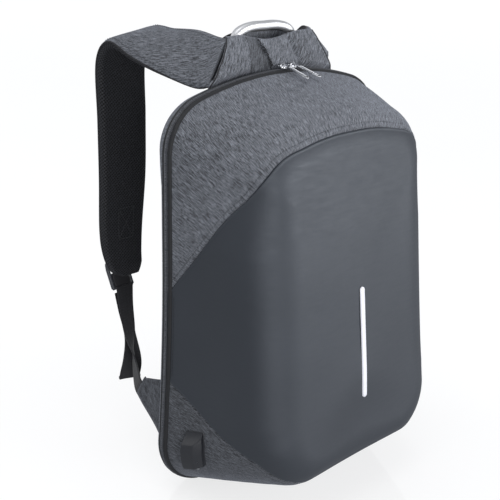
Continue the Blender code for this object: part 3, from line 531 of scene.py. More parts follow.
def mesh_look():
    """Black air mesh: rows of small round holes through a knitted face; the holes are painted near black,
    partly for the dark layer below and partly as painted shade in them.
    """
    n = Nodes("mesh")
    cell = n.voronoi(n.metres((1, 1.15, 1), 0.62), 330.0, "F1", 0.10)
    hole = n.ramp(cell, 0.30, 0.44, 0.0, 1.0)
    dust = n.noise(n.space(), 300.0, 2.0)
    knit = n.mix(dust, (0.0080, 0.0086, 0.0115), (0.0230, 0.0245, 0.0320))
    # Near-black holes: partly the dark layer below, partly painted shade in the holes.
    n.colour(n.mix(hole, (0.0020, 0.0020, 0.0024), knit))
    n.rough(n.ramp(hole, 0.0, 1.0, 0.95, 0.62))
    n.bump(hole, 0.0009, 0.9)
    n.sheen(0.04, (0.8, 0.85, 1.0))
    return n.look


def foam_look():
    """Grey foam with small open cells."""
    n = Nodes("foam")
    cells = n.voronoi(n.space(), 900.0, "F1")
    n.colour(n.mix(cells, (0.17, 0.17, 0.18), (0.25, 0.25, 0.26)))
    n.rough(0.9)
    n.bump(cells, 0.0003, 0.6)
    return n.look


def lining_look():
    """Dark lining cloth with a fine diamond weave."""
    n = Nodes("lining")
    weave = n.crossed("MAXIMUM", 0.78, 190.0)
    cloud = n.noise(n.space(), 30.0, 3.0)
    tone = n.weighted((weave, 0.35), (cloud, 0.65))
    n.colour(n.mix(tone, (0.038, 0.040, 0.046), (0.078, 0.081, 0.090)))
    n.rough(n.ramp(cloud, 0.3, 0.7, 0.66, 0.80))
    n.bump(weave, 0.00025, 0.5)
    n.sheen(0.18)
    return n.look


def reflective_look():
    """Pale reflective film with a fine bead texture."""
    n = Nodes("reflective")
    beads = n.voronoi(n.space(), 2600.0, "F1", 0.4)
    wear = n.noise(n.space((40, 40, 160)), 1.0, 3.0)
    n.colour(n.mix(wear, (0.88, 0.88, 0.96), (0.93, 0.93, 0.99)))
    n.rough(n.ramp(wear, 0.3, 0.7, 0.30, 0.42))
    n.shader.inputs["Metallic"].default_value = 0.15
    n.bump(beads, 0.0001, 0.3)
    return n.look


def metal_look(name, colour, low, high, brushed=(900, 60, 60)):
    """Metal with a fine brushed or polished finish and small marks."""
    n = Nodes(name)
    lines = n.noise(n.space(brushed), 1.0, 4.0, 0.6)
    marks = n.noise(n.space(), 160.0, 4.0, 0.7)
    n.colour(n.mix(marks, [c * 0.90 for c in colour], colour))
    n.shader.inputs["Metallic"].default_value = 1.0
    n.rough(n.ramp(marks, 0.3, 0.7, low, high))
    n.bump(lines, 0.00005, 0.25)
    return n.look


def plastic_look(name, colour, rough=0.42):
    """Moulded plastic with a fine spark-eroded grain and slight tone changes."""
    n = Nodes(name)
    grain = n.noise(n.space(), 2400.0, 2.0)
    cloud = n.noise(n.space(), 60.0, 3.0)
    n.colour(n.mix(cloud, [c * 0.88 for c in colour], [c * 1.12 for c in colour]))
    n.rough(n.ramp(cloud, 0.3, 0.7, rough - 0.06, rough + 0.08))
    n.bump(grain, 0.00008, 0.4)
    return n.look


def plain_look(name, colour, rough=0.5):
    """One colour with slow, slight tone changes."""
    n = Nodes(name)
    cloud = n.noise(n.space(), 90.0, 3.0)
    n.colour(n.mix(cloud, [c * 0.85 for c in colour], [min(c * 1.12, 1.0) for c in colour]))
    n.rough(rough)
    return n.look


MELANGE_DARK = (0.040, 0.0425, 0.049)
MELANGE_PALE = (0.250, 0.266, 0.304)
MELANGE = melange_look("melange", MELANGE_DARK, MELANGE_PALE)
MELANGE_STRAP = melange_look("melange_strap", MELANGE_DARK, MELANGE_PALE, 1.10, 0.92)
# Darker copy of the same melange for the base panel and the wings: painted shade, as they face down and away
# from the light.
MELANGE_BASE_PAINTED_SHADE = melange_look("melange_base_painted_shade", MELANGE_DARK, MELANGE_PALE, 0.45, 0.52)
# Darker copy of the same melange for the collar's sunk middle: painted shade under the handle and the right
# flap.
MELANGE_MIDDLE_PAINTED_SHADE = melange_look("melange_middle_painted_shade", MELANGE_DARK, MELANGE_PALE, 0.45, 0.62)
COATED = coated_look()
TAPE = weave_look("zip_tape", (0.0065, 0.0070, 0.0090), 0.0009, 1.8, 0.62, 0.0, 0.03)
WEBBING = weave_look("webbing", (0.010, 0.010, 0.0125), 0.0016, 1.9, 0.70)
BINDING = weave_look("binding", (0.011, 0.011, 0.0135), 0.0010, 1.8, 0.75)
ELASTIC = weave_look("elastic", (0.014, 0.014, 0.017), 0.0022, 2.0, 0.80)
COIL = plain_look("coil", (0.055, 0.058, 0.068), 0.35)
MESH = mesh_look()
FOAM = foam_look()
LINING = lining_look()
REFLECTIVE = reflective_look()
METAL = metal_look("metal", (0.80, 0.81, 0.84), 0.20, 0.30)
HANDLE_METAL = metal_look("handle_metal", (0.74, 0.745, 0.765), 0.46, 0.54, (60, 900, 900))
SOCKET_METAL = metal_look("socket_metal", (0.62, 0.63, 0.65), 0.22, 0.36)
PLASTIC = plastic_look("plastic", (0.022, 0.0235, 0.029))
LOCK_PLASTIC = plastic_look("lock_plastic", (0.050, 0.053, 0.063), 0.38)
BANK_PLASTIC = plastic_look("bank_plastic", (0.020, 0.020, 0.023), 0.45)
BOARD = plain_look("board", (0.030, 0.030, 0.033), 0.62)
THREAD = plain_look("thread", (0.055, 0.058, 0.067), 0.70)
DARK_THREAD = plain_look("dark_thread", (0.030, 0.031, 0.036), 0.65)
PORT_BLACK = plain_look("port_black", (0.010, 0.010, 0.011), 0.5)
GLASS_LIGHT = plain_look("indicator", (0.45, 0.50, 0.55), 0.25)


# ---------------------------------------------------------------- shell surface


def half_width(z):
    """Half width of the zip's outline at a height, up to the shoulders."""
    share = math.sin(min(z / WAIST_HEIGHT, 1.0) * math.pi / 2)
    return BASE_HALF_WIDTH + (WAIST_HALF_WIDTH - BASE_HALF_WIDTH) * share


def half_outline():
    """The zip's path on the +X side, from the middle of the base to the middle of the top, as (x, z)."""
    corner_x = half_width(BASE_CORNER_RADIUS) - BASE_CORNER_RADIUS
    shoulder_x = WAIST_HALF_WIDTH - TOP_CORNER_RADIUS
    arc_z = HEIGHT - TOP_ARC_RADIUS
    reach = TOP_ARC_RADIUS - TOP_CORNER_RADIUS
    shoulder_z = arc_z + math.sqrt(reach**2 - shoulder_x**2)
    turn = math.atan2(shoulder_z - arc_z, shoulder_x)
    path = [(0.0, 0.0), (corner_x, 0.0)]
    for a in np.linspace(-math.pi / 2, 0, 60)[1:]:
        x = corner_x + BASE_CORNER_RADIUS * math.cos(a)
        path.append((x, BASE_CORNER_RADIUS * (1 + math.sin(a))))
    for z in np.linspace(BASE_CORNER_RADIUS, shoulder_z, 90)[1:]:
        path.append((half_width(z), z))
    for a in np.linspace(0, turn, 60)[1:]:
        x = shoulder_x + TOP_CORNER_RADIUS * math.cos(a)
        path.append((x, shoulder_z + TOP_CORNER_RADIUS * math.sin(a)))
    for a in np.linspace(turn, math.pi / 2, 60)[1:]:
        path.append((TOP_ARC_RADIUS * math.cos(a), arc_z + TOP_ARC_RADIUS * math.sin(a)))
    return np.array(path)


OUTLINE = half_outline()
OUTLINE_RUN = run_along(OUTLINE)
OUTLINE_LENGTH = OUTLINE_RUN[-1]


def smooth_max(a, b):
    """The greater of two heights, rounded off where they meet."""
    return max(a, b) + max(BASE_BLEND - abs(a - b), 0.0) ** 2 / (4 * BASE_BLEND)


def base_floor(x, depth):
    """The lowest that the base may be: flat in the middle, rising to both sides and to the front."""
    side = BASE_SIDE_RISE * (x - BASE_SIDE_LINE + BASE_SIDE_TAPER * depth)
    return smooth_max(smooth_max(side, depth - BASE_FRONT_LINE), 0.0)


def rib_point(share, row):
    """A point of the outer surface on the +X side: row 0 is on the zip, 3 in the middle of the front."""
    x, z = read_at(share * OUTLINE_LENGTH, OUTLINE_RUN, OUTLINE)
    start = np.array([x, 0.0, z])
    slope = (TOP_DEPTH - BASE_DEPTH) / HEIGHT
    high = FRONT_LOW + (FRONT_HIGH - FRONT_LOW) * z / HEIGHT
    corner = np.array([FRONT_SCALE * x, BASE_DEPTH + slope * high, high])
    rise = FRONT_HIGH - FRONT_LOW
    middle = min(max(high, FRONT_LOW + SPINE_LOW * rise), FRONT_LOW + SPINE_HIGH * rise)
    spine = np.array([0.0, BASE_DEPTH + slope * middle, middle])
    face = spine - corner
    reach = np.linalg.norm(face)
    round_off = min(FRONT_FILLET, 0.9 * reach)
    first = corner + unit(start - corner) * round_off
    last = corner + face / reach * round_off
    if row <= 1:
        point = start + (first - start) * row
    elif row <= 2:
        k = row - 1
        point = (1 - k) ** 2 * first + 2 * k * (1 - k) * corner + k * k * last
    else:
        point = last + (spine - last) * (row - 2)
        point[1] += FRONT_CROWN * math.sin((row - 2) * math.pi / 2) ** 2
    fade = np.clip((0.20 - share) / (0.20 - 0.142), 0, 1) * np.clip(2 - row, 0, 1)
    low = base_floor(point[0], point[1])
    lowered = -smooth_max(-point[2], -low) if low < point[2] + BASE_BLEND else point[2]
    point[2] = max(point[2] + (lowered - point[2]) * fade, 0.0)
    return np.array([point[0], ZIP_Y - point[1], point[2]])


def seam_row(share):
    """Row of the wrap panel's seam, through the given shares, with its corners rounded."""
    if LOWER_TIP <= share <= UPPER_TIP:
        return 0.0
    room = abs(share - (LOWER_TIP if share < LOWER_TIP else UPPER_TIP))
    reach = min(0.034, room)
    near = [np.interp(share + d, SEAM_SHARE, SEAM_ROW) for d in np.linspace(-reach, reach, 21)]
    return float(np.average(near, weights=np.cos(np.linspace(-1.4, 1.4, 21))))


MASTER_ROWS = np.r_[np.linspace(0, 1, 40), np.linspace(1, 2, 40)[1:], np.linspace(2, 3, 40)[1:]]


def master_shares():
    """Shares of the half outline where the smooth shell has a rib."""
    found = set(np.linspace(0, 1, 151).tolist())
    for middle in (LOWER_TIP, UPPER_TIP):
        found.update((middle + np.linspace(-0.012, 0.012, 9)).tolist())
    found.update(np.linspace(0.74, 0.84, 25).tolist())
    found.update(np.linspace(0.14, 0.28, 29).tolist())
    return np.array(sorted(found))


def master_surface():
    """Points [rib][row][xyz] of the whole shell round the loop, with each rib's share and outline length."""
    shares = master_shares()
    right = np.array([[rib_point(s, r) for r in MASTER_ROWS] for s in shares])
    crown = WALL_CROWN * np.array([ease(r, 0.30, 0.88) * (1 - ease(r, 0.88, 1.85)) for r in MASTER_ROWS])
    upright = np.clip((shares - 0.24) / 0.08, 0, 1) * np.clip((0.72 - shares) / 0.10, 0, 1)
    right[:, :, 0] += crown[None, :] * upright[:, None]
    left = (right * (-1, 1, 1))[-2:0:-1]
    points = np.concatenate([right, left])
    share = np.r_[shares, shares[-2:0:-1]]
    around = np.r_[shares, 2 - shares[-2:0:-1]] * OUTLINE_LENGTH
    return points, share, around


MASTER, MASTER_SHARE, MASTER_AROUND = master_surface()
MASTER_NORMAL = grid_normals(MASTER, True)
MASTER_NORMAL *= np.sign((MASTER_NORMAL * (MASTER - (0.0, 0.0, HEIGHT / 2))).sum())
MASTER_NORMAL[:, 0, 1] = 0.0
MASTER_NORMAL[:, 0] = unit(MASTER_NORMAL[:, 0])
RIBS = len(MASTER)
TO_ROW = np.array([run_along(rib) for rib in MASTER])
SEAM_AT = np.array([np.interp(seam_row(s), MASTER_ROWS, run) for s, run in zip(MASTER_SHARE, TO_ROW)])


def on_rib(rib, distances):
    """Points and normals at distances from the zip along one rib."""
    points, normals = (read_at(distances, TO_ROW[rib], values[rib]) for values in (MASTER, MASTER_NORMAL))
    return points, unit(normals)


def spread(length, near_start, near_end, middle):
    """Distances from 0 to length: those near both ends as given, and evenly spaced ones between."""
    scale = min(1.0, length / (1.6 * (near_start[-1] + near_end[-1])))
    low, high = np.array(near_start) * scale, length - np.array(near_end)[::-1] * scale
    between = np.linspace(low[-1], high[0], middle + 2)[1:-1]
    return np.r_[low, between, high]


def soft(points, size, depth, seed=0.0):
    """Heights of slow, uneven swellings of a soft surface at the points."""
    shift = Vector((seed, seed * 0.7, seed * 1.3))
    return np.array([depth * noise.noise(Vector(p) / size + shift) for p in points])


# Distances of the rows of points beside the seam and beside the zip, closer where the fabric is pulled in
SEAM_STEPS = (0, 0.0003, 0.0006, 0.0009, 0.0012, 0.0016, 0.0021, 0.0027)
SEAM_STEPS += (0.0034, 0.0042, 0.0052, 0.0064, 0.0078)
ZIP_STEPS = (0, 0.0004, 0.0009, 0.0016, 0.0024, 0.0036, 0.0050, 0.0064)
SEAM_STITCH = 0.0060


def seam_height(distance, side):
    """Rise of the fabric beside the seam: a dip on the line, then a stitched ridge."""
    dip = -0.0011 * ridge(distance, 0.0008)
    if side == "grey":
        stitched = -0.0004 * ridge(distance - SEAM_STITCH, 0.0006)
        return dip + 0.0006 * ridge(distance - 0.0028, 0.0014) + stitched
    return dip + 0.0006 * ridge(distance - 0.0017, 0.0010)


def panel_ribs(low, high):
    """Ribs in a range of shares, in loop order: those over the top, or those under the base."""
    keep = [i for i in range(RIBS) if low <= MASTER_SHARE[i] <= high]
    right = [i for i in keep if i <= RIBS // 2]
    left = [i for i in keep if i > RIBS // 2]
    return right + left if high >= 1.0 else left + right


def grey_panel(name, low, high, look, node):
    """Grey melange panel between the zip and the seam of the wrap panel."""
    grid, uv = [], []
    ribs = panel_ribs(low, high)
    for rib in ribs:
        length = SEAM_AT[rib]
        at = spread(length, ZIP_STEPS, SEAM_STEPS, 26)
        points, normals = on_rib(rib, at)
        strength = min(1.0, length / 0.012)
        rise = seam_height(length - at, "grey") * strength
        swell = soft(points, 0.045, 0.0011, 3.0) + soft(points, 0.018, 0.0004, 8.0)
        calm = np.clip(at / 0.012, 0, 1) * np.clip((length - at) / 0.015, 0, 1)
        rise = rise + swell * calm
        grid.append(points + normals * rise[:, None])
        around = MASTER_AROUND[rib] - (2 * OUTLINE_LENGTH if low == 0.0 and points[0][0] < 0 else 0)
        uv.append([(around, d) for d in at])
    made = sheet_mesh(name, grid, uv, look, FABRIC)
    put(made, "front_shell", "melange", node)
    return ribs


def wrap_panel():
    """Smooth coated panel over the front, from the seam to the middle line."""
    grid, uv = [], []
    for rib in range(RIBS):
        start, end = SEAM_AT[rib], TO_ROW[rib][-1]
        at = start + spread(end - start, SEAM_STEPS, (0,), 64)
        points, normals = on_rib(rib, at)
        normals[-1] = (0, -1, 0)
        open_edge = LOWER_TIP <= MASTER_SHARE[rib] <= UPPER_TIP
        rise = 0.0001 + (0.0 if open_edge else seam_height(at - start, "wrap"))
        swell = soft(points, 0.075, 0.0010, 5.0) * np.clip((at - start) / 0.02, 0, 1)
        grid.append(points + normals * (rise + swell)[:, None])
        uv.append([(p[0], p[2]) for p in points])
    made = sheet_mesh("wrap_panel_look", grid, uv, COATED, FABRIC, closed=True, walls=(True, False))
    put(made, "front_shell", "coated", "wrap_panel")


def shell_layer(name, outer, inner, look, slot, node, buckle=0.0):
    """A whole layer of the shell between two depths."""
    grid, uv = [], []
    for rib in range(0, RIBS, 2):
        at = np.linspace(0, TO_ROW[rib][-1], 60)
        points, normals = on_rib(rib, at)
        normals[-1] = (0, -1, 0)
        waves = soft(points, 0.03, buckle, 11.0) * np.clip(at / 0.02, 0, 1)
        grid.append(points - normals * (outer + abs(waves))[:, None])
        uv.append([(MASTER_AROUND[rib], d) for d in at])
    made = sheet_mesh(name, grid, uv, look, inner - outer, closed=True, walls=(True, False))
    put(made, "front_shell", slot, node)


# ---------------------------------------------------------------- stitches and bindings


def stitches(name, path, normals, look, body, slot, length=0.0026, gap=0.0012, radius=0.00028):
    """A row of short stitches along a path, each a small rounded thread that dips into the fabric."""
    path, normals = np.asarray(path, float), np.asarray(normals, float)
    run = run_along(path)
    count = max(int(run[-1] / (length + gap)), 1)
    points, faces = [], []
    for i in range(count):
        at = (i + 0.5) * run[-1] / count + np.array([-0.5, -0.3, 0.3, 0.5]) * length
        centre, up = read_at(at, run, path), read_at(at, run, normals)
        line = centre[-1] - centre[0]
        if np.linalg.norm(line) < length * 0.4:
            continue
        across = unit(np.cross(line, up[1]))
        start = len(points)
        for j, (rise, wide) in enumerate(((-0.7, 0.5), (0.55, 1.0), (0.55, 1.0), (-0.7, 0.5))):
            for c, s in circle(6):
                points.append(centre[j] + (up[j] * rise + (across * c + up[j] * s) * wide) * radius)
        for low in range(start, start + 18, 6):
            faces += [(low + a, low + (a + 1) % 6, low + (a + 1) % 6 + 6, low + a + 6) for a in range(6)]
        faces.append(tuple(start + a for a in reversed(range(6))))
        faces.append(tuple(start + 18 + a for a in range(6)))
    put(tidy(mesh_object(name, points, faces, look), 1e-7), body, slot)


def rib_path(ribs, distance, out=0.0):
    """Points and normals along the shell at a distance from the zip, over several ribs."""
    found = [on_rib(rib, [distance]) for rib in ribs]
    return np.array([p[0] + n[0] * out for p, n in found]), np.array([n[0] for _, n in found])


# ---------------------------------------------------------------- zip and back half


RIM_CURVE = spline(RIM_PROFILE, 40)


def rim_point(rib, at, extra=0.0):
    """A point of the back half: at holds its distance behind the zip's plane and its two insets."""
    behind, top_inset, side_inset = at
    up = ease(MASTER[rib, 0][2], RIM_SIDE_BELOW, RIM_TOP_ABOVE)
    inset = side_inset + (top_inset - side_inset) * up + extra
    point = MASTER[rib, 0] - MASTER_NORMAL[rib, 0] * inset
    return np.array([point[0], ZIP_Y + behind, max(point[2], HINGE_LIFT)])


def rim_at(behind, extra):
    """Profile entry at a distance behind the zip's plane, further in than the rim by extra."""
    top, side = (np.interp(behind, RIM_CURVE[:, 0], RIM_CURVE[:, k]) for k in (1, 2))
    return (behind, top + extra, side + extra)


def front_edge(rib, away, out):
    """A point of the zip's front half: away from its edge, and out of the fabric."""
    point, normal = on_rib(rib, [away])
    return point[0] + normal[0] * out


def back_edge(rib, away, out):
    """The same on the back half."""
    edge = rim_point(rib, RIM_PROFILE[0])
    along = unit(rim_point(rib, RIM_PROFILE[1]) - edge)
    normal = MASTER_NORMAL[rib, 0]
    return edge + along * away + unit(normal - along * along.dot(normal)) * out


ZIP_RIBS = panel_ribs(ZIP_END, 1.0)


def zip_half(word, place, body):
    """Woven tape with a rounded welt, and the ridged coil on its edge."""
    section = (
        (0.0017, 0.0002),
        (0.0018, 0.0005),
        (0.0023, 0.0011),
        (0.0030, 0.0016),
        (0.0042, 0.0018),
        (0.0053, 0.0013),
        (0.0061, 0.0009),
        (0.0066, 0.0004),
        (0.0066, 0.0002),
    )
    rings = [[place(rib, away, out) for away, out in section] for rib in ZIP_RIBS]
    uvs = [[(MASTER_AROUND[rib], away) for away, _ in section] for rib in ZIP_RIBS]
    tape = tube_mesh(f"zip_tape_{word}", rings, TAPE, uvs, smooth_angle=70)
    put(tape, body, "black", f"zip_{word}_half")
    centre = np.array([place(rib, 0.00105, 0.0011) for rib in ZIP_RIBS])
    lifted = np.array([place(rib, 0.00105, 0.0021) for rib in ZIP_RIBS])
    run = run_along(centre)
    count = int(run[-1] / TOOTH_PITCH) * 4
    at = np.linspace(0, run[-1], count)
    centre, lifted = read_at(at, run, centre), read_at(at, run, lifted)
    up = unit(lifted - centre)
    side = np.cross(unit(np.gradient(centre, axis=0)), up)
    size = 0.00056 + 0.00018 * np.array([0.0, 1.0, 1.0, 0.0])[np.arange(count) % 4]
    ring = [side * c + up * 0.85 * s for c, s in circle(8)]
    rings = centre[:, None] + np.stack(ring, axis=1) * size[:, None, None]
    put(tube_mesh(f"zip_coil_{word}", rings, COIL, smooth_angle=30), body, "black")
    edge = [place(rib, 0.0033, 0.0014) for rib in ZIP_RIBS]
    ups = unit([place(rib, 0.0033, 0.0024) - place(rib, 0.0033, 0.0014) for rib in ZIP_RIBS])
    stitches(f"zip_stitches_{word}", edge, ups, DARK_THREAD, body, "black", 0.0024, 0.0012, 0.00024)


def gusset():
    """Grey fabric strip round the back half, from the zip's tape to the back panel."""
    grid, uv = [], []
    run = run_along(RIM_CURVE)
    past_tape = RIM_CURVE[:, 0] - 0.0075
    puff = 0.0007 * np.sin(np.clip(past_tape / 0.0185, 0, 1) * math.pi)
    for rib in range(0, RIBS, 2):
        points = np.array([rim_point(rib, at) for at in RIM_CURVE])
        waves = soft(points, 0.03, 0.0005, 21.0) * np.clip(past_tape / 0.006, 0, 1)
        rise = (puff + waves) * (points[:, 2] > 0.003)
        grid.append(points + MASTER_NORMAL[rib, 0] * rise[:, None])
        uv.append([(MASTER_AROUND[rib], s) for s in run])
    made = sheet_mesh("gusset", grid, uv, MELANGE, 0.0011, closed=True)
    put(made, "back_half", "melange", "back_gusset")
    hem = [rim_point(rib, rim_at(0.0090, -0.0003)) for rib in ZIP_RIBS]
    ups = [MASTER_NORMAL[rib, 0] for rib in ZIP_RIBS]
    stitches("gusset_stitches", hem, ups, THREAD, "back_half", "melange")
    behind, top, side = RIM_PROFILE[-1]
    loop = [rim_point(rib, (behind + 0.0002, top + 0.0006, side + 0.0006)) for rib in range(0, RIBS, 2)]
    cord("back_piping", loop, 0.0013, closed=True)


def filled_plate(name, profile, look, slot, node, wave=0.0, seed=0.0):
    """A solid of the outline's shape: the profile runs over its edge, and rings close both faces."""
    grid = np.array([[rim_point(rib, at) for at in profile] for rib in range(0, RIBS, 2)])
    middle = np.array([0.0, 0.0, HEIGHT / 2])
    shrink = np.linspace(1, 0.02, 24)
    rows = []
    for share in shrink[::-1]:
        row = middle + (grid[:, 0] - middle) * share
        row[:, 1] = grid[:, 0, 1]
        rows.append(row)
    rows += [grid[:, j] for j in range(1, grid.shape[1] - 1)]
    for share in shrink:
        row = middle + (grid[:, -1] - middle) * share
        row[:, 1] = grid[:, -1, 1] + soft(row, 0.04, wave, seed) * min(1.0, (1 - share) * 8)
        rows.append(row)
    rings = np.array(rows)
    put(tube_mesh(name, rings, look, rings[:, :, [0, 2]]), "back_half", slot, node)


# ---------------------------------------------------------------- straps


# Middle of the strap from its root to its foot: x, y behind the zip, z, direction across, and width
LEFT_STRAP = (
    (-0.0735, 0.0145, 0.4625, -0.57, -0.12, -0.82, 0.054),
    (-0.0775, 0.0300, 0.4615, -0.57, 0.0, -0.82, 0.057),
    (-0.0850, 0.0600, 0.4685, -0.75, 0.0, -0.66, 0.061),
    (-0.0895, 0.1000, 0.4740, -0.92, 0.0, -0.40, 0.062),
    (-0.0925, 0.1340, 0.4790, -0.99, 0.0, -0.15, 0.063),
    (-0.0945, 0.1550, 0.4500, -1.0, 0.0, 0.0, 0.062),
    (-0.0945, 0.1560, 0.3850, -1.0, 0.0, 0.0, 0.0615),
    (-0.0970, 0.1540, 0.3200, -1.0, 0.0, 0.0, 0.0605),
    (-0.1030, 0.1510, 0.2600, -1.0, 0.0, 0.0, 0.0560),
    (-0.1035, 0.1490, 0.2290, -1.0, 0.0, 0.0, 0.0500),
    (-0.1000, 0.1470, 0.2080, -1.0, 0.0, 0.0, 0.0400),
    (-0.0940, 0.1455, 0.1990, -1.0, 0.0, 0.0, 0.0220),
)
RIGHT_STRAP = (
    (-0.0735, 0.0145, 0.4625, -0.57, -0.12, -0.82, 0.054),
    (-0.0830, 0.0300, 0.4625, -0.54, 0.0, -0.84, 0.051),
    (-0.1020, 0.0430, 0.4658, -0.69, 0.0, -0.72, 0.053),
    (-0.1165, 0.0620, 0.4648, -0.82, 0.0, -0.57, 0.060),
    (-0.1240, 0.0880, 0.4465, -0.94, 0.0, -0.34, 0.063),
    (-0.1250, 0.1120, 0.4180, -1.0, 0.0, -0.10, 0.064),
    (-0.1230, 0.1270, 0.3780, -1.0, 0.0, 0.0, 0.064),
    (-0.1210, 0.1340, 0.3300, -1.0, 0.0, 0.0, 0.063),
    (-0.1180, 0.1370, 0.2800, -1.0, 0.0, 0.0, 0.061),
    (-0.1150, 0.1375, 0.2400, -1.0, 0.0, 0.0, 0.056),
    (-0.1100, 0.1370, 0.2120, -1.0, 0.0, 0.0, 0.045),
    (-0.1060, 0.1365, 0.2000, -1.0, 0.0, 0.0, 0.024),
)
# Middle of each ladder lock: x, y behind the zip, and z; the right one is mirrored
LOCK_AT = {"left": (-0.1020, 0.1550, 0.1940), "right": (-0.1200, 0.1465, 0.1940)}


class Strip:
    """A strip along a smooth path: centre, direction across, normal and width at evenly spaced places."""

    def __init__(self, rows, count, word):
        path = spline([(row[0], row[1] + ZIP_Y, *row[2:]) for row in rows], count)
        self.centre = path[:, :3]
        self.across = unit(path[:, 3:6])
        self.normal = unit(np.cross(np.gradient(self.centre, axis=0), self.across))
        self.half = path[:, 6] / 2
        self.run = run_along(self.centre)
        self.flip = np.array([-1, 1, 1]) if word == "right" else np.array([1, 1, 1])

    def point(self, i, a, b):
        """a runs across in units of the half width, b metres out along the normal."""
        return (self.centre[i] + self.across[i] * self.half[i] * a + self.normal[i] * b) * self.flip

    def rings(self, section):
        """Rings of a section given as (a, b) pairs or as a function of the place."""
        rings, uvs = [], []
        for i in range(len(self.centre)):
            pairs = section(i) if callable(section) else section
            rings.append([self.point(i, a, b) for a, b in pairs])
            across = run_along([(a * self.half[i], b) for a, b in pairs]) - self.half[i]
            uvs.append([(self.run[i], v) for v in across])
        return rings, uvs

    def line(self, a, b, first=0, last=None):
        """A path along the strip at one place across, with its normals."""
        index = range(len(self.centre))[first:last]
        points = [self.point(i, a, b) for i in index]
        return np.array(points), np.array([self.normal[i] * self.flip * np.sign(b or 1) for i in index])


def strap_section(i, count):
    """Outline of the padded part: bulging on the inner side, pulled in at its sewn edges."""
    full = min(1.0, 0.35 + 0.65 * min(i, count - 1 - i) / 6)
    bulge = np.sin(np.linspace(-math.pi / 2, math.pi / 2, 33))
    pairs = [(a, -0.0010 - 0.0086 * full * (1 - abs(a) ** 20) ** 0.5) for a in bulge]
    return pairs + [(a, -0.0002) for a in np.linspace(0.97, -0.97, 13)]


def cover_section():
    """Outline of the outer fabric: a slight crown, turned over both edges of the strap."""
    pairs = [(-0.990, -0.0010), (-1.004, -0.0006)]
    for a in np.linspace(-1, 1, 23):
        pairs.append((a, 0.0002 + 0.0024 * (1 - abs(a) ** 6) ** 0.7 - 0.0005 * ridge(abs(a) - 0.86, 0.03)))
    pairs += [(1.004, -0.0006), (0.990, -0.0010)]
    return pairs + [(a, 0.0001) for a in np.linspace(0.95, -0.95, 9)]


def shoulder_strap(word, rows):
    """Padded strap: mesh padding, outer cover, bound edge, rows of stitches and a sewn box near its foot."""
    count = 150
    strip = Strip(rows, count, word)
    rings, uvs = strip.rings(lambda i: strap_section(i, count))
    pad = tube_mesh(f"{word}_strap_padding", rings, MESH, uvs, smooth_angle=75)
    put(pad, "back_half", "mesh", f"{word}_strap_mesh")
    rings, uvs = strip.rings(cover_section())
    cover = tube_mesh(f"{word}_strap_cover", rings, MELANGE_STRAP, uvs, smooth_angle=75)
    put(cover, "back_half", "melange", f"{word}_strap_fabric")
    edge = [strip.point(i, -1.0, -0.0009) for i in range(count)]
    edge += [strip.point(count - 1, a, -0.0016) for a in np.linspace(-0.8, 0.8, 9)]
    edge += [strip.point(i, 1.0, -0.0009) for i in reversed(range(count))]
    cord(f"{word}_strap_binding", edge, 0.0009)
    for tag, a in (("outer", 0.87), ("inner", -0.87)):
        path, ups = strip.line(a, 0.0019, 3, -6)
        stitches(f"{word}_strap_stitches_{tag}", path, ups, THREAD, "back_half", "melange")
    box_low, box_high = 118, 131
    corners = [(box_low, -0.42), (box_high, -0.42), (box_high, 0.30), (box_low, 0.30), (box_low, -0.42)]
    corners += [(box_high, 0.30), (box_high, -0.42), (box_low, 0.30)]
    path, ups = [], []
    for (i0, a0), (i1, a1) in zip(corners, corners[1:]):
        for t in np.linspace(0, 1, 16, endpoint=False):
            place, a = i0 + (i1 - i0) * t, a0 + (a1 - a0) * t
            low = int(place)
            depth = -0.0012 - 0.0086 * (1 - abs(a) ** 20) ** 0.5
            near, far = strip.point(low, a, depth), strip.point(low + 1, a, depth)
            path.append(near + (far - near) * (place - low))
            ups.append(-strip.normal[low] * strip.flip)
    stitches(f"{word}_strap_box_stitch", path, ups, DARK_THREAD, "back_half", "black", 0.0030, 0.0008, 0.0005)


def webbing(name, rows, word, count, *nodes, thick=WEBBING_THICK, look=WEBBING):
    """A flat woven band with slightly thicker, rounded selvedges and fine ribs along its length."""
    strip = Strip(rows, count, word)
    pairs = []
    for sign in (1, -1):
        for a in np.linspace(-sign, sign, 25):
            rib = 0.00010 * math.cos(a * math.pi * 11)
            selvedge = 0.00022 * ridge(abs(a) - 0.90, 0.07)
            pairs.append((a, sign * (thick / 2 + selvedge + rib) * (1 - abs(a) ** 14) ** 0.5))
    rings, uvs = strip.rings(pairs)
    put(tube_mesh(name, rings, look, uvs, smooth_angle=60), "back_half", "black", *nodes)
    return strip


# ---------------------------------------------------------------- lower straps


LOCK_TILT = math.radians(28)


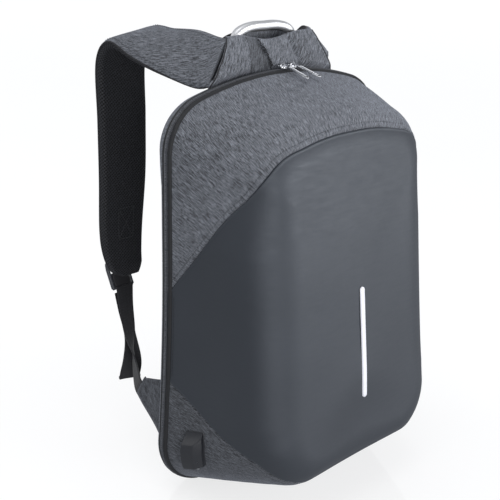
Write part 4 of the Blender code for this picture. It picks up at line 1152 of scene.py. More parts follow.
def ladder_lock(word, middle):
    """Moulded frame with two rounded bars, side cheeks and a domed thumb tab that stands out behind."""
    parts = []
    half = 0.0150
    for z, size in ((0.0118, 0.0019), (0.0038, 0.0016), (-0.0048, 0.0018), (-0.0118, 0.0017)):
        path = [(x, 0, z) for x in np.linspace(-half + 0.001, half - 0.001, 9)]
        parts.append(round_tube("bar", path, size, LOCK_PLASTIC, 12, flatten=1.2))
    for side in (-1, 1):
        path = [(side * (half - 0.0016), 0, z) for z in np.linspace(-0.0120, 0.0120, 13)]
        parts.append(round_tube("cheek", path, 0.0021, LOCK_PLASTIC, 12, flatten=1.15))
    rings = []
    for t in np.linspace(0, 1, 14):
        z, y = 0.0120 + 0.0105 * t, 0.0012 + 0.0038 * t * t
        wide = half * (1 - 0.30 * t * t) * math.sqrt(max(1 - max(t - 0.62, 0) ** 2 / 0.16, 0.02))
        thick = 0.0021 * (1 - 0.35 * t)
        rings.append([(wide * power(c, 0.55), y + thick * power(s, 0.8), z) for c, s in circle(28)])
    parts.append(tube_mesh("tab", rings, LOCK_PLASTIC))
    for k in range(3):
        path = [(x, -0.0012 + 0.0012 * k, 0.0150 + 0.0020 * k) for x in np.linspace(-0.008, 0.008, 7)]
        parts.append(round_tube("grip", path, 0.0005, LOCK_PLASTIC, 8))
    place = Matrix.Translation(middle) @ Matrix.Rotation(-LOCK_TILT, 4, "X")
    low, high = (-0.0112, -0.0031, -0.0108), (0.0112, 0.0031, 0.0060)
    band = box_mesh(f"{word}_lock_band", low, high, WEBBING, 0.0014)
    band.matrix_world = place
    put(band, "back_half", "black")
    made = joined(f"{word}_ladder_lock_look", parts, place)
    made.data.shade_smooth()
    put(made, "back_half", "plastic", f"{word}_ladder_lock")


def lower_strap(word):
    """Ladder lock, its loop, webbing down to the wing, and the loose end with its folded stop."""
    flip = 1 if word == "left" else -1
    x, lock_y, lock_z = LOCK_AT[word]
    y, z = lock_y - 0.0100, lock_z + 0.0060
    ladder_lock(word, Vector((flip * x, ZIP_Y + lock_y, lock_z)))
    wide = WEBBING_WIDTH
    main_run = (
        (x, lock_y - 0.0090, lock_z - 0.0080, -1.0, 0.0, 0.0, wide),
        (x - 0.006, lock_y - 0.0200, lock_z - 0.0300, -0.97, -0.2, 0.0, wide),
        (x - 0.016, lock_y - 0.0400, lock_z - 0.0520, -0.9, -0.4, 0.0, wide),
        (-0.1310, 0.0900, 0.1270, -0.5, -0.8, 0.1, wide),
        (-0.1480, 0.0600, 0.1080, -0.1, -0.55, 0.8, wide),
        (-0.1495, 0.0460, 0.1010, -0.05, -0.50, 0.85, wide),
    )
    webbing(f"{word}_webbing_look", main_run, word, 90, f"{word}_webbing")
    loose = (
        (x + 0.003, lock_y - 0.0010, lock_z - 0.0190, -1.0, 0.0, 0.0, wide),
        (x - 0.003, lock_y - 0.0140, lock_z - 0.0360, -0.97, -0.2, 0.0, wide),
        (x - 0.012, lock_y - 0.0340, lock_z - 0.0570, -0.9, -0.4, 0.0, wide),
        (-0.1290, 0.0960, 0.1180, -0.82, 0.10, 0.1, wide),
        (-0.1340, 0.0950, 0.0960, -0.78, 0.60, -0.15, wide),
    )
    strip = webbing(f"{word}_webbing_end_look", loose, word, 90, f"{word}_webbing_end")
    last = len(strip.centre) - 1
    fold = [strip.point(last, a, 0.0014 * (1 - abs(a) ** 6)) for a in np.linspace(-0.98, 0.98, 15)]
    cord(f"{word}_folded_stop", fold, 0.0021, WEBBING, flatten=1.2)
    for tag, i in (("first", last - 9), ("second", last - 12)):
        path = [strip.point(i, a, 0.0011) for a in np.linspace(-0.85, 0.85, 9)]
        ups = [strip.normal[i] * strip.flip] * 9
        stitches(f"{word}_stop_stitches_{tag}", path, ups, THREAD, "back_half", "black", 0.0022, 0.0008)
    loop = (
        (x + 0.010, y + 0.0075, z + 0.0240, -1.0, 0.0, 0.0, 0.020),
        (x + 0.006, y + 0.0070, z + 0.0130, -1.0, 0.0, 0.0, 0.020),
        (x + 0.003, y + 0.0078, z + 0.0070, -1.0, 0.0, 0.0, 0.020),
    )
    webbing(f"{word}_strap_loop_look", loop, word, 30, f"{word}_strap_loop")
    wing(word, flip)


def wing(word, flip):
    """Folded triangle of grey fabric that holds the webbing, with a sewn edge."""
    corners = [
        Vector((-0.1430, ZIP_Y + 0.0170, 0.128)),
        Vector((-0.1485, ZIP_Y + 0.0450, 0.121)),
        Vector((-0.1490, ZIP_Y + 0.0580, 0.097)),
        Vector((-0.1485, ZIP_Y + 0.0170, 0.060)),
    ]
    out = Vector((-1, 0, 0))
    count = 21
    grid, uv = [], []
    for i in range(count):
        s = i / (count - 1)
        upper, lower = corners[0].lerp(corners[1], s), corners[3].lerp(corners[2], s)
        row, pairs = [], []
        for j in range(count):
            t = j / (count - 1)
            point = upper.lerp(lower, t)
            edge = min(t, 1 - t, 1 - s)
            puff = 0.0015 * min(edge * 7, 1.0) ** 0.5 + 0.0006 * math.sin(6 * s + 3 * t)
            point = point + out * (0.0018 + puff)
            row.append(np.array(point) * (flip, 1, 1))
            pairs.append((point.y, point.z))
        grid.append(row)
        uv.append(pairs)
    # The wing takes the base's darker melange: painted shade.
    made = sheet_mesh(f"{word}_wing_look", grid, uv, MELANGE_BASE_PAINTED_SHADE, 0.0032)
    put(made, "back_half", "melange", f"{word}_wing")
    shifts = ((0, 0.001, -0.005), (0, -0.004, -0.005), (0, -0.009, 0.002), (0, 0.001, 0.016))
    inset = [corner + Vector(shift) for corner, shift in zip(corners, shifts)]
    path = [np.array(p + out * 0.0038) * (flip, 1, 1) for p in inset]
    stitches(f"{word}_wing_stitches", spline(path, 60), [(-flip, 0, 0)] * 60, THREAD, "back_half", "melange")


# ---------------------------------------------------------------- collar and handle


COLLAR_HEIGHT = 0.4860
COLLAR_DIP = 0.0065
HANDLE_HALF = 0.042
HANDLE_Y = 0.0270
HANDLE_AXIS_Z = 0.4700
HANDLE_TOP_Z = 0.4935


def arc_height(x):
    """Height of the zip's top arc at a distance from the middle."""
    return HEIGHT - TOP_ARC_RADIUS + math.sqrt(TOP_ARC_RADIUS**2 - x**2)


LEFT_FLAP = -0.036


def collar_overlap(t):
    """Where the right flap lies over the middle, at a share of the collar's height."""
    return -0.004 - 0.014 * t + 0.003 * math.sin(math.pi * t)


def collar_relief(x, t):
    """How far the front of the collar stands out: a left flap, a sunk middle, a right flap and a fold."""
    overlap = collar_overlap(t)
    crease = 0.038 - 0.015 * t
    rise = 0.0034 * (1 - ease(x, LEFT_FLAP - 0.0006, LEFT_FLAP + 0.0008))
    rise -= 0.0018 * ease(x, LEFT_FLAP, overlap) * (1 - ease(x, overlap - 0.0006, overlap + 0.0004))
    rise += 0.0030 * ease(x, overlap - 0.0005, overlap + 0.0005)
    rise -= 0.0030 * ridge(x - crease, 0.0028)
    rise += 0.0034 * ridge(x - crease - 0.020, 0.013) * (0.4 + 0.6 * t)
    return rise + 0.0016 * ridge(x + 0.060, 0.016)


def collar_front():
    """Front of the collar, from the rim to the straps, with overlapping flaps and folds; its sunk middle has
    painted shade, and dark cords along the flap edges are painted shadow lines.
    """
    columns, rows = 181, 34
    grid, uv = [], []
    for k in np.linspace(-1, 1, columns):
        foot_x, top_x = 0.090 * k, 0.062 * k
        sunk = COLLAR_DIP * (0.5 + 0.5 * math.cos(math.pi * min(abs(k) / 0.75, 1)))
        low = np.array([foot_x, ZIP_Y + 0.0090, arc_height(foot_x) - 0.0012])
        high = np.array([top_x, ZIP_Y + 0.0175, COLLAR_HEIGHT - sunk])
        row, pairs = [], []
        for t in np.linspace(0, 1, rows):
            point = low + (high - low) * t
            bow = 0.0022 * math.sin(math.pi * t)
            fade = ease(t, 0.0, 0.22)
            fade_top = 1 - 0.4 * ease(t, 0.85, 1.0)
            wave = 0.0009 * noise.noise(Vector((point[0] * 55, t * 2.2, 4.0)))
            point[1] -= (collar_relief(point[0], t) * fade_top + bow + wave) * fade
            row.append(point)
            pairs.append((point[0], point[2]))
        rim = row[-1]
        for turn, back in ((0.6, 0.0008), (1.2, 0.0020), (1.8, 0.0034)):
            row.append(rim + (0.0, back, 0.0010 * math.sin(turn)))
            pairs.append((rim[0], row[-1][2] + back))
        grid.append(row)
        uv.append(pairs)
    made = sheet_mesh("collar_front_look", grid, uv, MELANGE, 0.0026)
    # Faces between the left flap and the overlap take the darker melange: painted shade.
    made.data.materials.append(MELANGE_MIDDLE_PAINTED_SHADE)
    for face in made.data.polygons:
        t = (face.center.z - arc_height(face.center.x)) / (COLLAR_HEIGHT - COLLAR_DIP - arc_height(0))
        if LEFT_FLAP < face.center.x < collar_overlap(min(max(t, 0), 1)):
            face.material_index = 1
    put(made, "back_half", "melange", "collar_front")

    def in_front(j, x):
        """The point of row j nearest to x, just in front of the fabric."""
        return min((row[j] for row in grid), key=lambda point: abs(point[0] - x)) + (0, -0.0001, 0)

    for side, index in (("left", 0), ("right", -1)):
        cord(f"collar_piping_{side}", [point + (0, 0.0002, 0) for point in grid[index][:rows]], 0.0007)
    # Thin dark cords along the left flap's edge and along the overlap: painted shadow lines of the folds.
    for side, edge_x in (("left", lambda t: LEFT_FLAP), ("right", collar_overlap)):
        path = [in_front(j, edge_x(j / (rows - 1))) for j in range(3, rows)]
        cord(f"collar_fold_shadow_line_{side}", spline(path, 40), 0.0005, sides=8)
    path = [in_front(int(t * (rows - 1)), collar_overlap(t) + 0.0026) for t in np.linspace(0.12, 0.94, 30)]
    stitches("collar_stitches", spline(path, 40), [(0, -1, 0.1)] * 40, THREAD, "back_half", "melange")


def collar_back():
    """Back of the collar, a padded panel that the straps lean on."""
    grid, uv = [], []
    for k in np.linspace(-1, 1, 61):
        low, high = arc_height(0.053 * k) - 0.0110, COLLAR_HEIGHT - 0.0080 * abs(k) ** 5
        row = []
        for t in np.linspace(0, 1, 24):
            puff = 0.0016 * math.sin(math.pi * t) * (1 - abs(k) ** 6)
            row.append(np.array([(0.053 - 0.002 * t) * k, ZIP_Y + 0.0394 + puff, low + (high - low) * t]))
        grid.append(row)
        uv.append([(x, z) for x, _, z in row])
    made = sheet_mesh("collar_back_look", np.array(grid)[::-1], uv[::-1], MELANGE, 0.0016)
    put(made, "back_half", "melange", "collar_back")
    cord("collar_back_piping", [row[-1] + (0, -0.0006, 0.0002) for row in grid], 0.0012)


def carry_handle():
    """Bail of polished bar with a flattened arch, in two sleeves sewn under the collar."""
    half = (
        (0.0135, 0.0),
        (0.0080, 0.0),
        (0.0035, 0.0015),
        (0.0015, 0.0060),
        (0.0005, 0.0110),
        (-0.0035, 0.0165),
        (-0.0130, 0.0212),
        (-0.0270, 0.0235),
    )
    half = [(HANDLE_HALF + x, HANDLE_AXIS_Z + z) for x, z in half]
    path = half + [(0, HANDLE_TOP_Z)] + [(-x, z) for x, z in reversed(half)]
    fine = spline([(x, ZIP_Y + HANDLE_Y, z) for x, z in path], 120)
    depth = np.array([0.0, 1.0, 0.0])
    rings = []
    for centre, line in zip(fine, unit(np.gradient(fine, axis=0))):
        out = np.cross(line, depth)
        flat = ease(centre[2], HANDLE_AXIS_Z + 0.010, HANDLE_AXIS_Z + 0.020)
        wide, thick = 0.0040 + 0.0010 * flat, 0.0040 + 0.0006 * flat
        square = 1.0 - 0.28 * flat
        ring = [depth * wide * power(c, square) + out * thick * power(s, square) for c, s in circle(32)]
        rings.append(centre + ring)
    made = tube_mesh("carry_handle_look", rings, HANDLE_METAL, smooth_angle=60)
    put(made, "handle", "metal", "carry_handle")
    for word, side in SIDES:
        anchor(word, np.array([side * (HANDLE_HALF + 0.0095), ZIP_Y + HANDLE_Y, HANDLE_AXIS_Z]))


def anchor(word, middle):
    """Band of webbing that wraps the end of the handle and goes down into the bag."""
    outer, inner, foot = 0.0066, 0.0050, 0.4380 - middle[2]
    outside = [(outer * math.cos(a), outer * math.sin(a)) for a in np.linspace(-0.3, math.pi + 0.3, 26)]
    inside = [(inner * math.cos(a), inner * math.sin(a)) for a in np.linspace(math.pi + 0.25, -0.25, 26)]
    section = [(outer, foot), *outside, (-outer, foot), (-inner, foot), *inside, (inner, foot)]
    rings, uvs = [], []
    for x in np.linspace(-0.0065, 0.0065, 7):
        rings.append([middle + (x, y, z) for y, z in section])
        uvs.append([(k * 0.001, x) for k in range(len(section))])
    made = tube_mesh(f"handle_anchor_{word}_look", rings, WEBBING, uvs, smooth_angle=40)
    put(made, "back_half", "black", f"handle_anchor_{word}")


# ---------------------------------------------------------------- sliders and pulls


SLIDER_SIZE = (0.0105, 0.0076, 0.0018)
SLIDER_LIFT = 0.0022
CROWN_RISE = 0.0024
CROWN_BAR = 0.0005
PULL_SLOPE = math.radians(16.5)


def soft_block(name, outline, low, high, look, radius):
    """A plate with a free outline, its edges rounded."""
    work = bmesh.new()
    lower, upper = ([work.verts.new((x, y, z)) for x, y in outline] for z in (low, high))
    work.faces.new(list(reversed(lower)))
    work.faces.new(upper)
    for i, vert in enumerate(lower):
        k = (i + 1) % len(lower)
        work.faces.new((vert, lower[k], upper[k], upper[i]))
    rims = [e for e in work.edges if abs(e.verts[0].co.z - e.verts[1].co.z) < 1e-7]
    bmesh.ops.bevel(work, geom=rims, offset=radius, segments=3, affect="EDGES", profile=0.5)
    return from_bmesh(name, work, look)


def rounded_rectangle(half_x, low_y, high_y, radius, steps=6):
    """Points round a rectangle with round corners, from its +X +Y corner anticlockwise."""
    x, high, low = half_x - radius, high_y - radius, low_y + radius
    found = []
    for quarter, (x, y) in enumerate(((x, high), (-x, high), (-x, low), (x, low))):
        for a in (quarter + np.arange(steps + 1) / steps) * math.pi / 2:
            found.append((x + radius * math.cos(a), y + radius * math.sin(a)))
    return found


def zip_slider(word, centre_x, swing):
    """Slider with a waisted body, two rails and a crown, at a place on the top arc, and its pull."""
    turn = math.asin(centre_x / TOP_ARC_RADIUS)
    pivot = Vector((0, ZIP_Y, HEIGHT - TOP_ARC_RADIUS))
    length, width, height = SLIDER_SIZE
    base = TOP_ARC_RADIUS + SLIDER_LIFT
    top, crown_z = base + height, base + height + CROWN_RISE - CROWN_BAR
    shape = []
    for c, s in circle(40):
        waist = 1 - 0.16 * ridge(c - 0.35, 0.3)
        shape.append((length / 2 * power(c, 0.6), width / 2 * power(s, 0.6) * waist))
    parts = [soft_block("slider", shape, base, top, METAL, 0.0005)]
    rise = [(-0.0036, top - 0.001), (-0.0036, top + 0.0009), (-0.0024, crown_z)]
    path = spline([(x, 0, z) for x, z in rise + [(-x, z) for x, z in reversed(rise)]], 24)
    parts.append(round_tube("crown", path, CROWN_BAR, METAL, 12))
    for y in (-0.0031, 0.0031):
        rail = rounded_rectangle(0.0044, y - 0.0005, y + 0.0005, 0.0004)
        parts.append(soft_block("rail", rail, top - 0.0002, top + 0.0004, METAL, 0.0002))
    place = Matrix.Translation(pivot) @ Matrix.Rotation(turn, 4, "Y")
    put(joined(f"zip_slider_{word}_look", parts, place), f"slider_{word}", "metal", f"zip_slider_{word}")
    lean = Matrix.Rotation(swing, 4, "Z") @ Matrix.Rotation(PULL_SLOPE, 4, "X")
    pull_tab(word, place @ Matrix.Translation((0, 0, crown_z)) @ lean)


def pull_tab(word, place):
    """Eye round the crown's bar, a short neck, and a slim bar with a sunk panel and a rounded end."""
    ring = [(0, 0.00145 * math.cos(a), 0.00145 * math.sin(a)) for a in np.linspace(0, 2 * math.pi, 28)[:-1]]
    eye = round_tube("eye", ring, 0.00042, METAL, 10, closed=True)
    neck = [(-0.0013, -0.0018), (-0.0012, -0.0040), (-0.0025, -0.0070), (-0.0026, -0.0340)]
    tail = [(0.0026 * math.cos(a), -0.0344 - 0.0026 * math.sin(a)) for a in np.linspace(math.pi, 0, 13)]
    outline = neck + tail + [(-x, y) for x, y in reversed(neck)]
    bar = soft_block("bar", outline[::-1], -0.0006, 0.0013, METAL, 0.0003)
    panel = rounded_rectangle(0.0011, -0.0325, -0.0095, 0.0010)
    groove = soft_block("groove", panel, 0.0010, 0.0020, METAL, 0.0001)
    parts = [eye, cut("bar_cut", bar, groove)]
    put(joined(f"zip_pull_{word}_look", parts, place), f"pull_{word}", "metal", f"zip_pull_{word}")
    dots = []
    for y in (-0.0345, -0.0078):
        dots.append(round_tube("dot", [(0, y, 0.0014), (0, y, 0.0016)], 0.0007, PORT_BLACK, 14))
    put(joined(f"zip_pull_rivets_{word}", dots, place), f"pull_{word}", "metal")


# ---------------------------------------------------------------- charging port


PORT_SHARE = (0.247, 0.307)
PORT_DEPTH = (0.028, 0.052)
BANK_SIZE = (0.066, 0.012, 0.134)
POCKET_DEEP = 0.095
BOARD_Z = 0.0096


def surface_point(share, depth, side):
    """Point and outward normal of the shell at a depth in front of the zip, on one side."""
    row = depth / (ZIP_Y - rib_point(share, 1.0)[1])
    point = rib_point(share, row)
    normal = unit(np.cross(rib_point(share, row + 0.01) - point, rib_point(share + 0.002, row) - point))
    return point * (side, 1, 1), normal * np.sign(normal[0]) * (side, 1, 1)


def wall_frame(share, depth, side, below):
    """Frame on the shell's side wall: X runs forward along the wall, Y outward and Z up the wall."""
    point, normal = surface_point(share, depth, side)
    outward = Vector(normal).normalized()
    upward = Vector((0, 0, 1))
    upward = (upward - outward * upward.dot(outward)).normalized()
    forward = outward.cross(upward)
    turn = Matrix((forward, outward, upward)).transposed().to_4x4()
    return Matrix.Translation(Vector(point) - outward * below) @ turn


def soft_min(values, blend):
    """The least of several heights, rounded off where they meet."""
    return -blend * math.log(sum(math.exp(-v / blend) for v in values))


def usb_hood():
    """Moulded cover: a flat face, a wide bevel towards the front, and a scooped slope at the top."""
    rows, columns = 56, 48
    outer, base, uv = [], [], []
    for t in np.linspace(0, 1, rows):
        row_outer, row_base = [], []
        for s in np.linspace(0, 1, columns):
            narrow = 0.5 + (s - 0.5) * (1 - 0.16 * ease(t, 0.55, 1.0) - 0.06 * ease(1 - t, 0.8, 1.0))
            depth = PORT_DEPTH[0] + (PORT_DEPTH[1] - PORT_DEPTH[0]) * narrow
            point, normal = surface_point(PORT_SHARE[0] + (PORT_SHARE[1] - PORT_SHARE[0]) * t, depth, -1)
            flat = 0.0110 - 0.0004 * t
            front = 0.0050 + (1 - s) * 0.0180
            back = 0.0024 + s * 0.1100
            scoop = 0.0016 + (1 - t) * 0.0130 + 0.060 * (1 - t) ** 2
            low = 0.0030 + t * 0.170
            rise = max(soft_min((flat, front, back, scoop, low), 0.00055), 0.0009)
            row_outer.append(point + normal * rise)
            row_base.append(point + normal * 0.0003)
        outer.append(row_outer)
        base.append(row_base)
        uv.append([(s * 0.024, t * 0.050) for s in np.linspace(0, 1, columns)])
    outer, base = np.array(outer), np.array(base)
    hood = layered_mesh("usb_hood_raw", outer, base, uv, PLASTIC, smooth_angle=42)
    place = wall_frame(PORT_SHARE[0], sum(PORT_DEPTH) / 2, -1, 0)
    room = box_mesh("hood_room", (-0.0071, 0.0014, -0.006), (0.0071, 0.0077, 0.0133), PLASTIC, 0.0006)
    room.matrix_world = place
    hood = cut("usb_hood_shape", hood, room)
    hood.data.shade_smooth()
    hood.data.set_sharp_from_angle(angle=math.radians(38))
    put(hood, "front_shell", "plastic", "usb_hood")
    seat = np.concatenate([base[:, 0], base[-1], base[::-1, -1], base[0, ::-1]])
    put(round_tube("usb_hood_flange", seat[::3], 0.0009, PLASTIC, 8, closed=True), "front_shell", "plastic")
    socket(place)


def socket(place):
    """USB socket: metal shell with a folded lip, and the tongue with its contacts."""
    half, low, high, deep, wall = 0.0067, 0.0018, 0.0073, 0.0130, 0.0005
    rings = []
    for inset, z in ((0, deep), (0, 0.0012), (0.0001, 0.0009), (wall, 0.0009), (wall, deep - 0.002)):
        outline = rounded_rectangle(half - inset, low + inset, high - inset, 0.0006, 4)
        rings.append([(x, y, z) for x, y in outline])
    shell = tube_mesh("usb_socket_look", rings, SOCKET_METAL, smooth_angle=40)
    ends = (-0.0056, 0.0046, 0.0018), (0.0056, 0.0062, deep - 0.0022)
    tongue = box_mesh("usb_tongue", *ends, PORT_BLACK, 0.0002)
    shell.matrix_world = tongue.matrix_world = place
    put(shell, "front_shell", "metal", "usb_socket")
    put(tongue, "front_shell", "plastic")
    contacts = []
    for x in (-0.0035, -0.0012, 0.0012, 0.0035):
        ends = (x - 0.0005, 0.0043, 0.0026), (x + 0.0005, 0.00465, 0.0080)
        contacts.append(box_mesh("contact", *ends, METAL, 0.0001))
    put(joined("usb_contacts", contacts, place), "front_shell", "metal")


# ---------------------------------------------------------------- reflective strip


def front_line():
    """The middle line of the front as rows of z and y, going up."""
    points = [rib_point(0.0, r) for r in np.linspace(2.0, 3.0, 120)]
    points += [rib_point(s, 3.0) for s in np.linspace(0, 1, 200)]
    return np.array(sorted((z, y) for _, y, z in points)).T


def reflective_strip():
    """Narrow pale strip with round ends, welded on the middle of the front."""
    low, high, half = 0.1235, 0.2465, 0.0034
    zs, ys = front_line()
    grid, uv = [], []
    for z in np.linspace(low, high, 120):
        end = min(z - low, high - z)
        wide = half if end >= half else math.sqrt(max(half**2 - (half - end) ** 2, 1e-9))
        y = float(np.interp(z, zs, ys))
        row, pairs = [], []
        for k in np.linspace(-1, 1, 15):
            rise = 0.0016 * (1 - k**4) ** 0.5 * min(1.0, 0.35 + end / 0.003)
            row.append((wide * k, y - 0.0006 - rise, z))
            pairs.append((wide * k, z))
        grid.append(row)
        uv.append(pairs)
    grid = np.array(grid)
    if grid_normals(grid)[60, 7][1] > 0:
        grid, uv = grid[:, ::-1], [row[::-1] for row in uv]
    made = sheet_mesh("reflective_strip_look", grid, uv, REFLECTIVE, 0.0012)
    put(made, "front_shell", "reflective", "reflective_strip")


# ---------------------------------------------------------------- pockets and inside


def pocket_ring(low, high, inset, z, bulge=0.0):
    """Rounded rectangle seen from above, its broad faces bulging."""
    (middle_x, middle_y), (half_x, half_y) = ((low + high) / 2)[:2], ((high - low) / 2)[:2] - inset
    ring = []
    for c, s in circle(72):
        x, y = half_x * power(c, 0.28), half_y * power(s, 0.35)
        swell = bulge * (1 - min(abs(x / half_x), 1) ** 2.5) * power(s, 0.5)
        ring.append((middle_x + x, middle_y + y + swell, z))
    return ring


def pouch(name, low, high, wall, look, slot, body, node, place=None, bulge=0.0):
    """Sewn pocket that is open at its top, with soft walls, a bound mouth and rows of stitches."""
    low, high = np.array(low), np.array(high)
    heights = np.linspace(low[2], high[2], 30)
    profile, back = [], []
    for z in heights:
        t = (z - low[2]) / (high[2] - low[2])
        swell = bulge * math.sin(math.pi * min(t * 1.1, 1))
        profile.append((0.0015 * (1 - ease(t, 0.0, 0.04)), z, swell))
        back.append((wall, max(z, low[2] + wall), swell))
    profile += [(wall * 0.5, high[2] + 0.0004, 0.0), *back[::-1]]
    rings = [pocket_ring(low, high, *entry) for entry in profile]
    uvs = [[(s, ring[0][2]) for s in run_along(ring)] for ring in rings]
    made = tube_mesh(name, rings, look, uvs, smooth_angle=70)
    mouth = pocket_ring(low, high, wall * 0.5, high[2] + 0.0003)
    binding = round_tube(f"{name}_binding", mouth, wall * 0.5 + 0.0007, BINDING, 10, closed=True)
    place = place or Matrix.Identity(4)
    made.data.transform(place)
    binding.data.transform(place)
    put(made, body, slot, node)
    put(binding, body, "black")
    front = place.to_3x3() @ Vector((0, -1, 0))
    for k, depth in enumerate((0.0045, 0.0062)):
        path = [p for p in pocket_ring(low, high, -0.0001, high[2] - depth) if p[1] < (low[1] + high[1]) / 2]
        path = [place @ Vector(p) for p in sorted(path)]
        stitches(f"{name}_stitches_{k}", path, [front] * len(path), THREAD, body, slot)


def laptop_strap():
    """Elastic strap with a hook-and-loop tab over the mouth of the laptop sleeve."""
    path = (
        (-0.0245, 0.262),
        (-0.0250, 0.285),
        (-0.0238, 0.305),
        (-0.0140, 0.3175),
        (-0.0050, 0.3175),
        (0.0050, 0.3168),
        (0.0093, 0.3110),
    )
    rows = [(0.0, y, z, -1.0, 0.0, 0.0, 0.030) for y, z in path]
    webbing("laptop_strap", rows, "left", 60, thick=0.0018, look=ELASTIC)
    outline = rounded_rectangle(0.0145, -0.016, 0.016, 0.004)
    tab = soft_block("laptop_strap_tab", outline, 0.0, 0.0022, LINING, 0.0008)
    tab.data.transform(Matrix.Translation((0, ZIP_Y - 0.0262, 0.272)) @ Matrix.Rotation(math.pi / 2, 4, "X"))
    put(tab, "back_half", "lining")


def power_bank(place):
    """Slim battery pack with a row of level lamps and its two ports."""
    width, thick, height = BANK_SIZE
    edge = 0.0030
    outline = rounded_rectangle(width / 2, -thick / 2, thick / 2, 0.0052, 8)
    quarter = np.linspace(0, math.pi / 2, 13)
    profile = [(1 - math.sin(a), -height / 2 + edge * (1 - math.cos(a))) for a in quarter]
    profile += [(1 - math.cos(a), height / 2 - edge * (1 - math.sin(a))) for a in quarter]
    rings = []
    for share, z in profile:
        near_x, near_y = (1 - edge * share / (size / 2) for size in (width, thick))
        rings.append([(x * near_x, y * near_y - thick / 2, z) for x, y in outline])
    bank = tube_mesh("power_bank_look", rings, BANK_PLASTIC, smooth_angle=50)
    bank.matrix_world = place
    put(bank, "front_shell", "plastic", "power_bank")

    def block(name, x, y, z, half, look):
        """Small box at a middle, with the given half sizes."""
        middle, half = Vector((x, y, z)), Vector(half)
        return box_mesh(name, middle - half, middle + half, look, 0.0002)

    lamps, ports = [], []
    half = (0.0008, 0.0003, 0.0008)
    for x in (-0.006, -0.002, 0.002, 0.006):
        lamps.append(block("lamp", x, 0.0001 - thick, height / 2 - 0.0192, half, GLASS_LIGHT))
    put(joined("power_bank_lamps", lamps, place), "front_shell", "plastic")
    for x, half in ((-0.014, 0.0064), (0.012, 0.0042)):
        top, y = height / 2, -thick / 2
        ports.append(block("port", x, y, top - 0.00015, (half, 0.0024, 0.00045), SOCKET_METAL))
        ports.append(block("mouth", x, y, top + 0.00015, (half - 0.0008, 0.0016, 0.00035), SOCKET_METAL))
    put(joined("power_bank_ports", ports, place), "front_shell", "metal")


def inside():
    """Power bank in its pocket, laptop sleeve with its strap, tablet and organiser pockets, base board."""
    place = wall_frame(0.46, 0.070, -1, LINING_IN + 0.0040)
    power_bank(place)
    width, thick, height = BANK_SIZE
    low = (-width / 2 - 0.0018, -thick - 0.0018, -height / 2 - 0.0018)
    high = (width / 2 + 0.0018, 0.0018, -height / 2 + POCKET_DEEP)
    pouch("power_pocket", low, high, 0.0013, ELASTIC, "black", "front_shell", "power_bank_pocket", place)
    for name, (half, front, foot), (back, top), wall, body, bulge in (
        ("laptop_sleeve", (0.128, -0.0220, 0.045), (0.0088, 0.310), 0.0032, "back_half", 0.0),
        ("tablet_pocket", (0.105, -0.0325, 0.052), (-0.0223, 0.240), 0.0013, "back_half", 0.0),
        ("organiser_pocket", (0.077, -0.1230, 0.094), (-0.1125, 0.218), 0.0013, "front_shell", 0.0008),
    ):
        low, high = (-half, ZIP_Y + front, foot), (half, ZIP_Y + back, top)
        pouch(f"{name}_look", low, high, wall, LINING, "lining", body, name, bulge=bulge)
    laptop_strap()
    board = [(-0.060, -0.018), (-0.050, -0.054), (0.050, -0.054), (0.060, -0.018)]
    outline = [(x, ZIP_Y + y) for x, y in board]
    made = soft_block("base_board_look", outline, BOARD_Z, BOARD_Z + 0.002, BOARD, 0.0005)
    put(made, "front_shell", "board", "base_board")


def hinge_tape():
    """Woven tape inside the bottom, sewn to both halves."""
    grid, uv = [], []
    for x in np.linspace(-0.055, 0.055, 45):
        row, pairs = [], []
        for y in np.linspace(-0.0165, 0.0035, 33):
            rise = 0.00012 * math.cos(x / 0.0012) + 0.0001 * math.sin(y / 0.0008)
            row.append((x, ZIP_Y + y, LINING_IN + 0.0019 + rise))
            pairs.append((y, x))
        grid.append(row)
        uv.append(pairs)
    made = sheet_mesh("hinge_tape_look", np.array(grid), uv, BINDING, 0.0009)
    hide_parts("hinge_tape")
    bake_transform(made)


# ---------------------------------------------------------------- back pads by cloth simulation


PAD_X = (0.020, 0.112)
PAD_ROWS = (("upper", 0.222, 0.395), ("lower", 0.045, 0.212))
PAD_LOW_Y = ZIP_Y + 0.0273
PAD_HIGH_Y = ZIP_Y + 0.0395
PAD_SWELL = 0.0028
CLOTH_FRAMES = 12


def pad_uv(obj):
    """UV in metres across the back, from each corner's own position."""
    layer = obj.data.uv_layers.get("metres") or obj.data.uv_layers.new(name="metres")
    spots = np.empty(len(obj.data.vertices) * 3)
    obj.data.vertices.foreach_get("co", spots)
    spots = spots.reshape(-1, 3)
    index = np.empty(len(obj.data.loops), dtype=int)
    obj.data.loops.foreach_get("vertex_index", index)
    layer.data.foreach_set("uv", spots[index][:, (0, 2)].astype(np.float32).ravel())


def pad_blocks():
    """The four pads before they are blown up, with their CAD nodes' names."""
    blocks = []
    for word, side in SIDES:
        for place, bottom, top in PAD_ROWS:
            xs = sorted((side * (PAD_X[0] + 0.001), side * (PAD_X[1] - 0.001)))
            low = (xs[0], PAD_LOW_Y, bottom + 0.001)
            high = (xs[1], PAD_HIGH_Y - 0.0025, top - 0.001)
            block = box_mesh("pad_block", low, high, MESH, 0.0040, 4)
            step = block.modifiers.new("remesh", "REMESH")
            step.mode = "VOXEL"
            step.voxel_size = 0.0030
            blocks.append((block, f"back_pad_{place}_{word}"))
    pads = []
    for block, node in blocks:
        pad = joined("pad_raw", [block])
        pad.data.materials.clear()
        pad.data.materials.append(MESH)
        pads.append((pad, node))
    return pads


